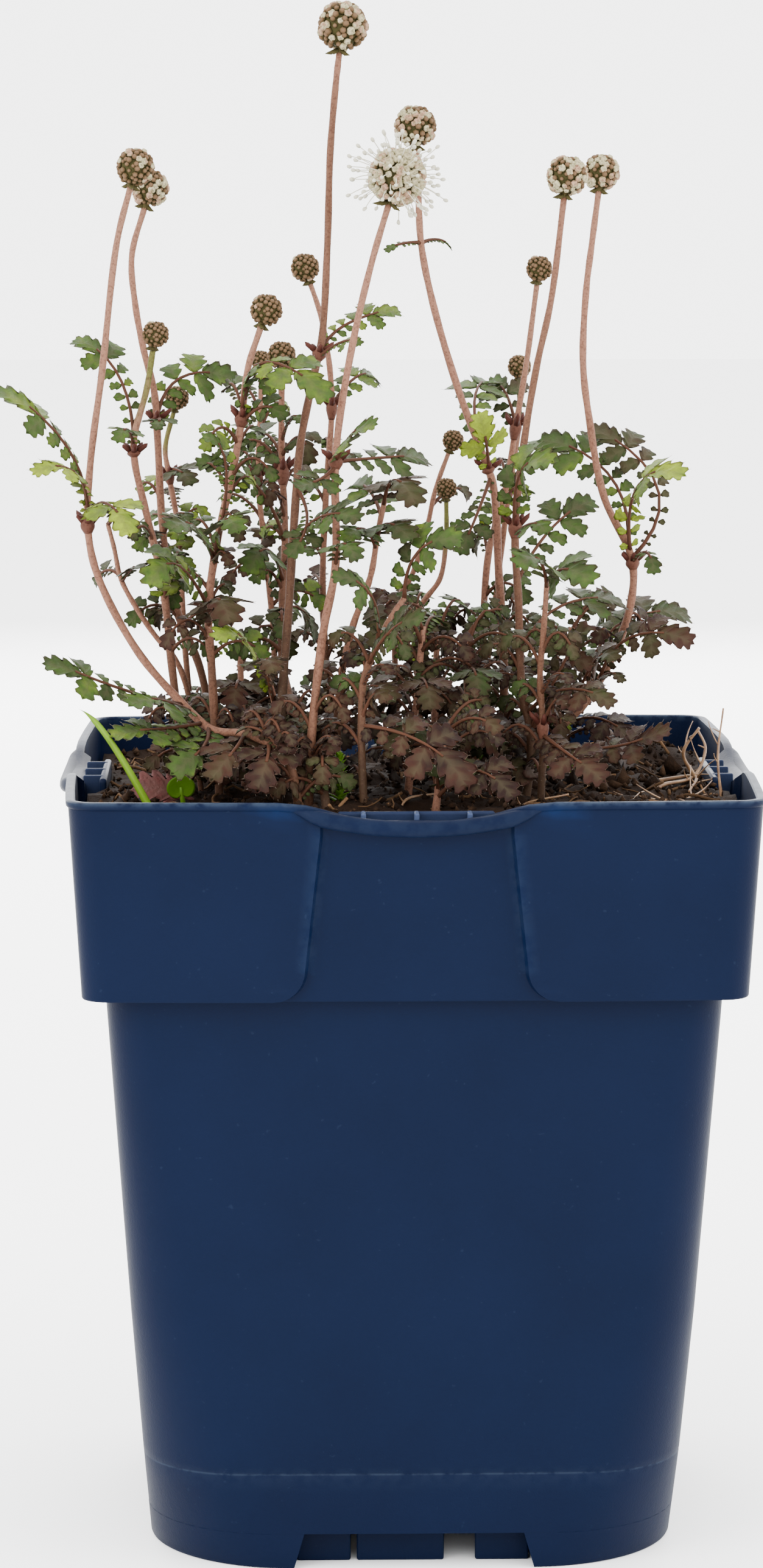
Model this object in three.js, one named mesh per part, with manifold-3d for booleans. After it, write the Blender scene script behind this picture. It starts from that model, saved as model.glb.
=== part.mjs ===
// A small copper-leaved ground cover, a New Zealand bur, in its square blue nursery pot.
// Millimetres, +Z up. The origin is the middle of the pot's underside, on the ground,
// and the pot's front faces -Y.
import * as THREE from 'three';
import { mergeVertices } from 'three/addons/utils/BufferGeometryUtils.js';
import Module from 'manifold-3d';

// Pot: each level is [height, half width, corner radius, bow of the sides]
const BODY_OUTSIDE = [
  [0, 43.4, 24, 0], [16.2, 44.4, 16.5, 0.3], [42, 46.1, 11, 0.5], [92, 49.3, 7, 0.8], [120.7, 50.9, 5.5, 1],
];
const WALL = 1.2;
const INSIDE_LEVELS = [36];
const FLOOR_UNDER = 6;
const FLOOR_TOP = 7.4;
const SHOULDER_UNDER = 119.5;
const SHOULDER_TOP = 120.7;
const RIM_TOP = 128;
const SKIRT_BOTTOM = 95.8;
const SKIRT_OUTSIDE = [
  [SKIRT_BOTTOM, 53.1, 4.5, 1.2], [RIM_TOP, 55, 4.6, 1.3],
];
const PANEL_RECESS = 1.2;
const PANEL_WALL = 1.1;
const CORNER_STEPS = 3;
const SIDE_STEPS = 2;
const FOOT_WALL = 1.5;
const BELOW_GROUND = -1;
// How far a piece reaches into what it is joined to, and a cut past the face it opens
const REACH_IN = 0.3;
const CUT_PAST = 0.01;

// One side's handle scoop, panel, tongue, ribs, lip and foot, seen from the front: [x, z]
const PANEL_EDGE = [[14.8, 122.8], [17.2, 101], [18.6, 98], [22.5, 95]];
const SCOOP_EDGE = [[23, 130], [21, 128], [18, 127.6], [14.5, 126.4], [9, 125.5]];
const TONGUE_HALF = 12.6;
const TONGUE_TOP = 126.8;
const TONGUE_CORNER = 2.4;
const TONGUE_ROUND = 0.3;
const RIB_PLACES = [-8.4, 0, 8.4];
const RIB_THICKNESS = 0.8;
const RIB_TOP = 126;
const LIP_SIDES = 5;
const LIP_STEPS = 6;
const LIP_PATH = [[20, 55.9, 126.9], [14, 56.5, 125.2], [7, 57.0, 124.2], [0, 57.2, 123.9]];
const LIP_HEIGHT = 2.6;
const LIP_DEPTH = 2.4;
const FOOT_NOTCH = { bottom: 19.6, top: 17.9, height: FLOOR_UNDER };
const FOOT_BLOCKS = [[-19.1, -10.3], [-9.3, 5.0], [10.1, 18.9]];
const FOOT_BLOCK_FRONT = 39;
const FOOT_BLOCK_DEPTH = 1.4;
const CENTRE_PAD_RADIUS = 8;
const CENTRE_PAD_SIDES = 12;
const DRAIN = { place: 24, radius: 4, height: 4, sides: 8, angles: [45, 135, 225, 315] };
// From which depth to which each slab of a side goes, along Y
const DEPTHS = {
  panel: [-70, -48], scoop: [-60, -52], tongue: [-51.4, -50.2], rib: [-54.2, -50.6], notch: [-50, -35],
  pocket: [-58, -49.9],
};

// Soil
const CLEARANCE = 0.3;
const SOIL_FRONT_HEIGHT = 125.2;
const SOIL_FALL = 0.036;
const SOIL_FRONT = 50;
const SOIL_LUMP = 0.55;
const SOIL_WAVES = { x: 0.41, start: 1.3, y: 0.37, slantX: 0.23, slantY: 0.51 };
const SOIL_EDGE = [51.9, 3, 1.3];
const POCKET_TOP = 135;
const SOIL_MOUND = { x: 40, y: 33, height: 2.2, spread: 12 };
const SOIL_RINGS = [0.96, 0.72, 0.4];
const HOLE_SLACK = 0.12;

// Plant
const STEM_SIDES = 5;
const BLADE = 0.62;
const RIB_HALF = 0.45;
const RIB_NARROW = 0.4;
const DROOP = 0.12;
const TILT_TO_LIGHT = 38;
const TILT_SCATTER = 14;
const SHEATH_LENGTH = 4.4;
const SHEATH_PROFILE = [[0, -0.5], [1.9, 0.15], [0, 0.5]];
const LEAFLET_LENGTH = [0.75, 0.52, 0.36];
const LEAFLET_STEP = [1.2, 0.52, 0.42];
const LEAFLET_ANGLE = 72;
// Outline of a leaflet as shares of its length: [along, across]
const LARGE_LEAFLET = [[0, 0.12], [0.8, 0.34], [0.8, -0.34], [0, -0.12]];
const SMALL_LEAFLET = [[0, 0.3], [1, 0], [0, -0.3]];
// The end leaflet: half its sweep in degrees, and its middle, reach, half width and notches as shares
const TOOTHED = { sweep: 130, middle: 0.55, reach: 0.45, half: 0.38, notch: 0.8 };
const END_LEAFLET_SHARE = 0.8;
const FIRST_PLACE = { share: 0.15, margin: 0.4 };
const LARGE_LEAF = 6.5;
const TEETH = { large: 3, small: 2 };
const WAYS_TO_TURN = [0, 14, -14, 28, -28, 45, -45];
const WAYS_TO_LIFT = [0, 3, -3, 6, -6];
const LIFT_AT_MIDDLE = 0.6;
const ROOM_AT_BASE = 3;

// Every shoot: its route from the root up, half thickness, where its leaf sheath sits on the
// route, its flower head [centre, radius, detail], and its leaves as
// [place on the route, point half way along, tip, pairs of leaflets, length of the end leaflet].
const SHOOTS = {
  far_left: {
    route: [[-18, -43, 122], [-20.5, -44, 133.5], [-26.5, -38, 136.5], [-32.5, -31, 136.5],
      [-37.5, -27, 140.5], [-44.5, -25, 148.5], [-51, -24, 161], [-52.5, -24, 169], [-52, -23, 179],
      [-50, -22, 194], [-47.5, -21, 214.5]],
    radius: 0.85, sheath: 7, head: [[-44.5, -20, 226.5], 3.5, 2],
    leaves: [
      [7.1, [-55.5, -29, 182], [-66, -33, 192], 3, 8.6],
      [7.1, [-54, -32, 178], [-60.5, -38, 179], 2, 6.2],
      [7.0, [-49.5, -34, 173.5], [-45, -42, 169.5], 2, 7],
      [3.9, [-47, -34, 143.5], [-58.5, -40, 149], 2, 7.8],
      [3.7, [-40.5, -37, 142], [-45, -44, 143], 1, 8.4],
      [3.3, [-40.5, -38, 137.5], [-48, -44, 138], 2, 7.6],
      [3.1, [-34, -40, 134.5], [-38.5, -46, 132], 1, 8],
      [2.1, [-29, -44, 134.5], [-32.5, -49, 131.5], 1, 8],
      [1.5, [-25, -47, 133.5], [-27.5, -50, 129.5], 1, 8],
    ],
  },
  left_pale: {
    route: [[-31, -8, 120], [-34.5, -10, 143.5], [-38.5, -11, 154], [-40.5, -11, 165.5], [-41.5, -10, 183.5],
      [-42, -9, 190], [-43.5, -9, 196], [-45, -8, 204], [-45.5, -8, 212]],
    radius: 0.8, sheath: 4.2, head: [[-42.5, -8, 223], 3.45, 2],
    leaves: [
      [4.2, [-37.5, -6, 192], [-28, -2, 191.5], 2, 7.8],
      [4.2, [-42, -14, 185.5], [-43.5, -18, 184.5], 1, 4],
    ],
  },
  left_short: {
    route: [[-36, -22, 120], [-39, -21, 145], [-40.5, -20, 159], [-43, -19, 170], [-45, -18, 179],
      [-45, -18, 183], [-43, -17, 190.5]],
    radius: 0.8, sheath: 4.3, head: [[-41.5, -17, 199.5], 2.5, 2],
    leaves: [
      [4.3, [-47.5, -15, 192.5], [-55, -12, 199], 2, 6.6],
      [4.6, [-46, -24, 184.5], [-47.5, -28, 183], 1, 4.5],
    ],
  },
  left_small: {
    route: [[-35, 4, 119], [-37.5, 4, 147.5], [-38.5, 4, 166.5], [-40, 4, 175.5], [-40.5, 4, 179.5]],
    radius: 0.65, sheath: 2.9, head: [[-38.5, 4, 188], 2.3, 2],
    leaves: [
      [3.1, [-38, 0, 176], [-36, -4, 174.5], 1, 5.5],
      [2, [-41.5, 8, 168], [-45, 12, 167.5], 2, 5],
    ],
  },
  left_thin: {
    route: [[-34, -14, 120], [-37, -14, 142], [-39, -14, 146.5], [-42, -14, 150], [-45.5, -15, 155.5],
      [-47.5, -15, 159.5], [-48.5, -16, 164.5], [-49.5, -16, 168.5]],
    radius: 0.6, sheath: null, head: null,
    leaves: [
      [7, [-50.5, -20, 171], [-55.5, -25, 172.5], 1, 5],
      [4.9, [-44.5, -19, 161.5], [-42, -22, 162.5], 1, 4.2],
      [5.1, [-50, -12, 160.5], [-52.5, -9, 158], 1, 4],
    ],
  },
  mid_left: {
    route: [[-31, -27, 120], [-32.5, -26, 145.5], [-33, -25, 155.5], [-31.5, -24, 166.5], [-29, -22, 177.5],
      [-27.5, -21, 186], [-26.5, -20, 194]],
    radius: 0.85, sheath: 5, head: [[-23.5, -19, 203.5], 3, 2],
    leaves: [
      [2.8, [-30, -27.5, 178.5], [-33.5, -31, 184], 2, 4.6],
      [2.7, [-35, -34, 169.5], [-38.5, -42, 170.5], 1, 7.6],
      [2.7, [-30.5, -30, 170], [-28, -36, 169.5], 1, 7],
      [2, [-38, -34, 163.5], [-42, -40, 161], 1, 8],
      [1.7, [-31.5, -34, 158], [-29, -40, 155], 1, 8.5],
      [5.1, [-24, -28, 195.5], [-13.5, -36, 190.5], 2, 8.6],
    ],
  },
  mid_leafy: {
    route: [[-13.5, -46, 121], [-15.5, -38, 133], [-18.5, -28, 137.5], [-21, -18, 145.5], [-21, -12, 155.5],
      [-20.5, -9, 166], [-21, -7, 179]],
    radius: 0.85, sheath: 5.8, head: [[-21, -5, 195.5], 2.7, 2],
    leaves: [
      [6, [-18, -12, 182.5], [-16.5, -14, 178], 1, 5],
      [6, [-24, -2, 182.5], [-27, 2, 180], 1, 5],
      [4.9, [-24.5, -16, 175.5], [-32, -22, 179], 2, 6.6],
      [4.3, [-23.5, -18, 164.5], [-26.5, -24, 161.5], 1, 7.2],
    ],
  },
  mid_back: {
    route: [[-22, 12, 118], [-22.5, 12, 147.5], [-24, 11, 163], [-25, 11, 174], [-24.5, 10, 187]],
    radius: 0.65, sheath: 3, head: [[-24.5, 10, 194], 1.9, 2],
    leaves: [],
  },
  tall_centre: {
    route: [[-22, -36, 121], [-21, -34, 143.5], [-20, -30, 156], [-19, -26, 170.5], [-18, -23, 182],
      [-16, -20, 192], [-14.5, -18, 198.5], [-13.5, -16, 214], [-13, -15, 229], [-12, -14, 240.5]],
    radius: 0.85, sheath: 5.7, head: [[-11, -13, 249], 4.6, 3],
    leaves: [
      [5.7, [-10.5, -15, 201], [-1.5, -12, 203.5], 2, 5.6],
      [5.6, [-12.5, -24, 198.5], [-10.5, -28, 198.5], 1, 3.6],
      [3.4, [-17, -32, 170], [-20, -38, 165.5], 1, 5],
      [2.6, [-15.5, -36, 171], [-9, -44, 172], 2, 6.2],
    ],
  },
  open_flower: {
    route: [[-17, -40, 121], [-16.5, -41, 136], [-14.5, -38, 153], [-12.5, -35, 163.5], [-12.5, -32, 176.5],
      [-12, -30, 184.5], [-9.5, -28, 199], [-6.5, -27, 211.5]],
    radius: 0.85, sheath: 4.4, head: [[-2.5, -26, 225], 5.1, 3],
    leaves: [
      [4.4, [-10, -38, 184.5], [-6.5, -42, 187], 1, 6.4],
      [4.4, [-5.5, -26, 180], [3, -20, 180], 2, 7.6],
      [4.3, [-15.5, -36, 177], [-18.5, -40, 177], 1, 6],
      [3, [-11.5, -42, 167.5], [-9, -46, 165.5], 1, 6],
    ],
  },
  centre_leafy: {
    route: [[-12, -18, 119], [-12, -21, 137.5], [-11.5, -22, 143.5], [-9.5, -23, 152.5], [-7.5, -24, 158],
      [-6.5, -25, 161.5], [-5.5, -26, 168], [-4.5, -27, 173]],
    radius: 0.75, sheath: null, head: null,
    leaves: [
      [6.5, [-7, -20, 174.5], [-10, -14, 175.5], 1, 7.6],
      [6.9, [-3, -34, 177], [0.5, -40, 174], 1, 8.2],
      [5.9, [-4, -34, 170], [-0.5, -40, 168.5], 1, 7.4],
      [5.6, [-8, -32, 169], [-11, -38, 168], 1, 6.4],
      [1, [-7.5, -28, 143], [-3, -34, 142], 2, 6.6],
    ],
  },
  front_leafy: {
    route: [[-8, -43, 121], [-8.5, -42, 138.5], [-8, -40, 146], [-6, -38, 150.5], [-4, -36, 154.5],
      [-1.5, -34, 158]],
    radius: 0.75, sheath: null, head: null,
    leaves: [
      [5, [-0.5, -39, 166], [5.5, -43, 168.5], 3, 7.2],
      [3, [-7, -46, 159.5], [-13, -50, 163.5], 2, 6],
      [2.4, [-4, -46, 154], [0.5, -52, 157], 2, 6.6],
      [1, [1.5, -46, 136], [8.5, -49, 129.5], 2, 9.5],
    ],
  },
  rosette_leafy: {
    route: [[-23, -29, 120], [-22, -30, 134.5], [-22.5, -31, 141.5], [-24, -32, 147]],
    radius: 0.7, sheath: null, head: null,
    leaves: [
      [2, [-27, -37, 151.5], [-31.5, -42, 153], 2, 7.4],
      [1.9, [-21.5, -40, 148.5], [-18.5, -46, 148], 1, 6],
    ],
  },
  centre_pink: {
    route: [[15.5, -4, 119], [16, -5, 142], [15, -6, 160], [14, -7, 174], [12.5, -7, 178.5], [8.5, -7, 189],
      [4, -7, 204], [2, -7, 214], [1.5, -7, 224]],
    radius: 0.85, sheath: 3.6, head: [[1, -7, 233], 3.9, 2],
    leaves: [
      [3.5, [12.5, -12, 182], [11.5, -14, 186.5], 0, 6.4],
      [3.8, [17.5, 0, 187.5], [28.5, 6, 191], 2, 8],
      [3.3, [10.5, -14, 168.5], [8, -18, 164], 1, 5.6],
      [7, [-1, -10, 214], [-4, -12, 213], 0, 3],
      [7, [5, -4, 214.5], [7.5, -2, 213], 0, 3],
    ],
  },
  right_white: {
    route: [[18, -26, 120], [19.5, -25, 133.5], [18, -24, 142.5], [17.5, -22, 156], [17, -20, 167],
      [18, -18, 178], [20.5, -16, 193.5], [23, -15, 205]],
    radius: 0.85, sheath: 4.1, head: [[25.5, -14, 225], 3.7, 2],
    leaves: [
      [4.1, [17.5, -26, 177.5], [22, -32, 180.5], 2, 7.8],
      [4, [19.5, -28, 169.5], [21.5, -32, 168.5], 1, 5.2],
      [3.3, [23, -16, 167.5], [30.5, -12, 172.5], 2, 7.4],
      [2.4, [24.5, -18, 155], [36, -12, 155.5], 2, 8.2],
      [1.5, [24.5, -32, 143], [32, -38, 141.5], 2, 6],
      [1, [32, -28, 133], [41, -32, 137], 2, 7],
      [1.2, [26, -28, 149.5], [28.5, -30, 152.5], 2, 6.6],
    ],
  },
  far_right: {
    route: [[19.5, -15, 119], [24, -13, 133], [29, -11, 138], [34, -9, 146], [37, -8, 155], [37, -8, 162],
      [32.5, -6, 172], [30, -5, 185], [29, -4, 194], [29.5, -3, 206], [30.5, -2, 214]],
    radius: 0.85, sheath: 4.9, head: [[32, -1, 225.5], 3.4, 2],
    leaves: [
      [5, [41.5, -4, 173.5], [30.5, 2, 183.5], 2, 7.4],
      [5.1, [37.5, -14, 174.5], [44.5, -20, 177.5], 2, 8],
      [5.2, [33.5, -2, 175.5], [22, 4, 181.5], 2, 8.4],
      [4.9, [39, -14, 163.5], [40, -18, 160.5], 0, 4.4],
      [2.1, [34.5, -4, 150], [48, 2, 152], 2, 8.6],
      [2.5, [36.5, -14, 149.5], [46.5, -18, 149.5], 2, 7.4],
      [1.5, [30, -20, 146], [33, -26, 147.5], 2, 6],
    ],
  },
  right_back: {
    route: [[13.5, 8, 118], [13, 8, 144], [14, 7, 162], [16.5, 6, 171.5], [18.5, 5, 184], [20, 4, 193.5]],
    radius: 0.75, sheath: 3.9, head: [[22, 3, 209.5], 2.5, 2],
    leaves: [
      [3.9, [16.5, 11, 189], [13.5, 15, 190], 1, 6.4],
    ],
  },
  right_hidden: {
    route: [[11.5, 20, 117], [15.5, 19, 151], [18, 18, 172], [19.5, 17, 182.5]],
    radius: 0.65, sheath: 2, head: [[19.5, 17, 192.5], 2.3, 2],
    leaves: [
      [2, [24, 21, 178], [29, 24, 177], 1, 6.4],
    ],
  },
  right_leafy: {
    route: [[20.5, -33, 120], [21, -32, 137], [20.5, -32, 145], [21, -32.5, 152.5], [21.5, -33, 160.5]],
    radius: 0.7, sheath: 1, head: null,
    leaves: [
      [3.9, [19.5, -42, 165], [16, -47, 165], 1, 7.8],
      [4, [24, -38, 163], [28, -43, 162], 1, 8.2],
      [0.9, [25.5, -41, 133], [30, -46, 130.5], 2, 7.6],
    ],
  },
  centre_back: {
    route: [[-11, 16, 118], [-14, 15, 151.5], [-13.5, 13, 170.5], [-12.5, 12, 186], [-13, 11, 194],
      [-14.5, 10, 202]],
    radius: 0.7, sheath: 3, head: [[-17, 10, 209.5], 2.75, 2],
    leaves: [
      [3, [-8, 16, 191], [-4, 20, 190], 1, 6],
    ],
  },
  back_green: {
    route: [[2.5, 15, 117.5], [2, 15, 146.5], [1.5, 15, 150], [3.5, 15, 153], [6, 15, 156.5], [7, 14, 164]],
    radius: 0.65, sheath: 1.6, head: [[7, 14, 172], 2.05, 2],
    leaves: [],
  },
  back_thin: {
    route: [[-0.5, 27, 117], [-1.5, 27, 145.5], [-1.5, 27, 150.5], [1.5, 26, 156], [4, 25, 164],
      [5.5, 24, 171]],
    radius: 0.65, sheath: 1.6, head: [[8.5, 24, 179.5], 2.1, 2],
    leaves: [
      [4.6, [9, 27, 171], [12, 29, 169], 0, 4.5],
    ],
  },
};

// Low bushy growth: its root, its top, how many leaves it has and how far they reach
const TUFTS = {
  tuft_front: { root: [3, -41, 121], top: [5, -36, 137], leaves: 3, reach: 15 },
  tuft_middle: { root: [-1, -24, 120], top: [2, -20, 152], leaves: 5, reach: 16 },
  tuft_centre_back: { root: [4, -6, 119], top: [5, 0, 150], leaves: 4, reach: 16 },
  tuft_left_back: { root: [-21, 0, 119], top: [-24, -1, 149], leaves: 4, reach: 16 },
  tuft_left: { root: [-27, -18, 120], top: [-28, -15, 147], leaves: 4, reach: 15 },
  tuft_right: { root: [10, -22, 120], top: [9, -17, 150], leaves: 4, reach: 14 },
  tuft_right_back: { root: [24, 3, 118.5], top: [28, 6, 149], leaves: 4, reach: 16 },
};
const TUFT_RADIUS = 0.8;
const GOLDEN_ANGLE = 137.5;
const TUFT_LEAFLET = 6.6;
const TUFT_BEND = 0.45;
// Where on the stem the leaves start, how they scatter and shorten, and how far they rise
const TUFT_LEAVES = {
  first: 0.75, span: 1.2, scatter: 40, taper: 0.35, middle: 0.45, rise: 5, uneven: 3, sag: 0.3,
};

// A head's core and florets as shares of its radius, and how far round the stalk it stays bare
const HEAD_CORE = 0.84;
const FLORET_REACH = 0.05;
const BARE_AT_STALK = 0.85;
const PALE_HEADS = ['left_pale', 'tall_centre', 'open_flower', 'centre_pink', 'right_white', 'far_right'];
const STAMENS = { count: 26, reach: 8.6, uneven: 1.2, half: 0.22, start: 0.5, bare: 0.6 };

// Straw and dead roots: [x, y, height over the soil], the first point stuck in the soil.
const STRAWS = {
  straw_long: { radius: 0.35, routes: [[[10, -3, -1.5], [11, -2, 1], [16, 4, 1.8], [22, 9.5, 2.2]]] },
  straw_front: { radius: 0.3, routes: [[[16.5, -37.5, -1.5], [17.5, -38.5, 0.8], [24.5, -43, 1.6]]] },
  straw_middle: { radius: 0.3, routes: [[[-2.5, -39, -1.5], [-1.5, -38, 0.8], [4.5, -31, 2]]] },
  dry_grass: { radius: 0.28, routes: [[[50.8, -26, -1.5], [50, -25.5, 7], [51, -23.5, 15]]] },
  dry_roots: { radius: 0.4, routes: [
    [[39.5, -21, -1.5], [41, -20, 1], [47, -16, 2], [49, -14, 7], [48, -10.5, 10.5]],
    [[40, -13, 1.4], [47, -16, 2], [45.5, -24, 1.6]],
    [[47, -16, 2], [45, -18, 6], [47.5, -19, 10]],
  ] },
};
const GRASS = {
  root: [-41, -41, -2], middle: [-48.5, -43.5, 12], tip: [-53.5, -43, 16], half: 0.65, taper: 0.35,
};
const GRASS_PLACES = [0, 0.3, 0.6, 0.85];
const GRASS_HOLE = { deeper: 0.5, wider: 1.5 };
const SEEDLING = {
  root: [-36.5, -35.5, -2], top: [-37.2, -37, 2.2], radius: 2.1, stalk: 0.4, sweep: 160, points: 11,
};
const SEED_LEAF_LEAN = [-0.4, -1.2];
const SEED_LEAF_LENGTH = 1.8;
const SPRIGS = {
  sprig_front: { root: [-12, -39.5, -2], height: 9.5, leaves: 9, reach: 2.6 },
  sprig_right: { root: [13.2, 5.5, -2], height: 6, leaves: 6, reach: 2 },
};
const SPRIG_RADIUS = 0.55;
const SPRIG_BEND = 0.2;
const SPRIG_LEAVES = { first: 0.4, span: 0.58, out: 0.7, up: 0.8, half: 0.42 };
const LITTER_SIDES = 4;
const MOSS = { centre: [25, 12.5], radius: 3.3, height: 1.5, depth: 1, leaves: 11, reach: 2.2, sides: 7 };
const MOSS_LEAVES = { spread: 0.7, start: 0.6, lean: 0.3, half: 0.6 };
const MOSS_HOLE_TOP = 5;
// How far each flat piece of litter leans to the light, in degrees
const LEANS = { grass: 60, seedling: 70, dead: 50 };
const DEAD_LEAF_TEETH = 4;
const DEAD_LEAVES = {
  dead_leaf: [[32, 12, 1.3], [36, 13, 4], [40.5, 14, 1.5]],
  red_leaf: [[-35.5, -31.5, 0.1], [-40, -32.5, 2.2], [-45, -33.5, 2.4]],
};

const COLOURS = {
  pot: 0x1b2f5c, soil: 0x1f1712, shoot: 0x5c4a34, tuft: 0x3f3229, head: 0x6d5548, pale_head: 0xb9a58c,
  straw: 0xc2a27a, weed: 0x7aa13a, dead: 0x5a4a40,
};

// Cuts leave points on flat faces: those nearer than this to the face go.
const SMOOTHING = 0.03;

const wasm = await Module();
wasm.setup();

// Makes a solid from a closed surface, turned right side out.
function solid(geometry) {
  const bare = geometry.clone();
  bare.deleteAttribute('normal');
  bare.deleteAttribute('uv');
  const merged = mergeVertices(bare, 1e-4);
  const vertProperties = Float32Array.from(merged.attributes.position.array);
  const triVerts = Uint32Array.from(merged.index.array);
  const a = new THREE.Vector3();
  const b = new THREE.Vector3();
  const c = new THREE.Vector3();
  let volume = 0;
  for (let i = 0; i < triVerts.length; i += 3) {
    a.fromArray(vertProperties, triVerts[i] * 3);
    b.fromArray(vertProperties, triVerts[i + 1] * 3);
    c.fromArray(vertProperties, triVerts[i + 2] * 3);
    volume += a.dot(b.cross(c));
  }
  if (volume < 0) triVerts.reverse();
  return new wasm.Manifold(new wasm.Mesh({ numProp: 3, vertProperties, triVerts }));
}

const join = (solids) => solids.reduce((sum, one) => sum.add(one));
const cut = (from, solids) => solids.reduce((rest, one) => rest.subtract(one), from);

// The largest connected surface of a solid: loose scraps and sealed hollows are left out.
function oneBody(whole) {
  const bodies = whole.decompose();
  return bodies.reduce((best, one) => (one.volume() > best.volume() ? one : best));
}

function geometryOf(whole) {
  const mesh = oneBody(whole.simplify(SMOOTHING)).getMesh();
  const geometry = new THREE.BufferGeometry();
  geometry.setAttribute('position', new THREE.BufferAttribute(Float32Array.from(mesh.vertProperties), 3));
  geometry.setIndex(Array.from(mesh.triVerts));
  geometry.computeVertexNormals();
  return geometry;
}

const UPWARDS = new THREE.Vector3(0, 0, 1);
const ALONG_Y = new THREE.Vector3(0, 1, 0);
const part = new THREE.Group();

function addNode(name, whole, colour, roughness) {
  const material = new THREE.MeshStandardMaterial({ color: COLOURS[colour], roughness, metalness: 0 });
  const mesh = new THREE.Mesh(geometryOf(whole), material);
  mesh.name = name;
  part.add(mesh);
}

const point = (p) => new THREE.Vector3(...p);
const radians = (degrees) => degrees * Math.PI / 180;
// A fixed scatter: the same number from -1 to 1 for the same pair of counts.
function scatter(i, k) {
  const raw = Math.sin(i * 12.9898 + k * 78.233) * 43758.5453;
  return 2 * (raw - Math.floor(raw)) - 1;
}

// One level of a square pot: bowed sides and round corners, anticlockwise.
function squareRing([height, half, corner, bow], lift = () => 0) {
  const ring = [];
  for (let side = 0; side < 4; side++) {
    const turn = side * Math.PI / 2;
    const straight = half - corner;
    const places = [];
    for (let i = 1; i < SIDE_STEPS; i++) {
      const f = 2 * i / SIDE_STEPS - 1;
      places.push([straight * f, -half - bow * (1 - f * f)]);
    }
    for (let i = 0; i <= CORNER_STEPS; i++) {
      const angle = -Math.PI / 2 + i / CORNER_STEPS * Math.PI / 2;
      places.push([straight + corner * Math.cos(angle), -straight + corner * Math.sin(angle)]);
    }
    for (const [x, y] of places) {
      const px = x * Math.cos(turn) - y * Math.sin(turn);
      const py = x * Math.sin(turn) + y * Math.cos(turn);
      ring.push([px, py, height + lift(px, py)]);
    }
  }
  return ring;
}

// A closed skin over rings of points, with a fan of triangles over each end.
function skin(rings) {
  const n = rings[0].length;
  const middle = (ring) => [0, 1, 2].map((k) => ring.reduce((sum, p) => sum + p[k], 0) / n);
  const points = [...rings.flat(), middle(rings[0]), middle(rings.at(-1))];
  const bottom = points.length - 2;
  const top = points.length - 1;
  const last = (rings.length - 1) * n;
  const faces = [];
  for (let i = 0; i < n; i++) {
    const j = (i + 1) % n;
    for (let r = 0; r < rings.length - 1; r++) {
      faces.push(r * n + i, r * n + j, (r + 1) * n + j, r * n + i, (r + 1) * n + j, (r + 1) * n + i);
    }
    faces.push(bottom, j, i, top, last + i, last + j);
  }
  const geometry = new THREE.BufferGeometry();
  geometry.setAttribute('position', new THREE.Float32BufferAttribute(points.flat(), 3));
  geometry.setIndex(faces);
  return geometry;
}

const loft = (levels) => solid(skin(levels.map((level) => squareRing(level))));
const inset = (levels, by) => levels.map(([z, half, corner, bow]) => [z, half - by, corner - by * 0.8, bow]);

// An outline drawn as seen from the front, [x, z], carried from one depth to another.
function slab(outline, front, back) {
  const shape = new THREE.Shape(outline.map(([x, z]) => new THREE.Vector2(x, z)));
  const geometry = new THREE.ExtrudeGeometry(shape, { depth: back - front, bevelEnabled: false });
  return geometry.rotateX(Math.PI / 2).translate(0, back, 0);
}

const mirrored = (half) => [...half, ...half.map(([x, z]) => [-x, z]).reverse()];
const boxOutline = (x0, x1, z0, z1) => [[x0, z0], [x1, z0], [x1, z1], [x0, z1]];
const onFourSides = (make) => [0, 1, 2, 3].map((side) => solid(make().rotateZ(side * Math.PI / 2)));

function halfWidthAt(levels, z) {
  const above = levels.findIndex((level) => level[0] >= z);
  const [low, high] = [levels[Math.max(above - 1, 0)], levels[above]];
  const f = (z - low[0]) / Math.max(high[0] - low[0], 1e-6);
  return low.map((value, k) => value + (high[k] - value) * f);
}

const cavityLevels = (by, from, to) => inset(
  [from, ...INSIDE_LEVELS, to].map((z) => halfWidthAt(BODY_OUTSIDE, z)), WALL + by);

const polygon = (sides) => Array.from({ length: sides }, (_, i) => new THREE.Vector2(
  Math.cos(2 * Math.PI * i / sides), Math.sin(2 * Math.PI * i / sides)));

// The rolled lip under each scoop: an oval bead along a path that sags in the middle.
function lip() {
  const half = LIP_PATH.map(([x, out, z]) => [x, -out, z]);
  const path = [...half, ...half.slice(0, -1).map(([x, y, z]) => [-x, y, z]).reverse()];
  const oval = new THREE.Vector2(LIP_HEIGHT / 2, LIP_DEPTH / 2);
  const section = new THREE.Shape(polygon(LIP_SIDES).map((p) => p.multiply(oval)));
  return new THREE.ExtrudeGeometry(section, {
    steps: LIP_STEPS, bevelEnabled: false,
    extrudePath: new THREE.CatmullRomCurve3(path.map(point)),
  });
}

function tongue() {
  const top = TONGUE_TOP;
  const round = TONGUE_CORNER * TONGUE_ROUND;
  const right = [[TONGUE_HALF, SHOULDER_UNDER + REACH_IN], [TONGUE_HALF, top - TONGUE_CORNER],
    [TONGUE_HALF - round, top - round], [TONGUE_HALF - TONGUE_CORNER, top]];
  return slab(mirrored(right), ...DEPTHS.tongue);
}

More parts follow.
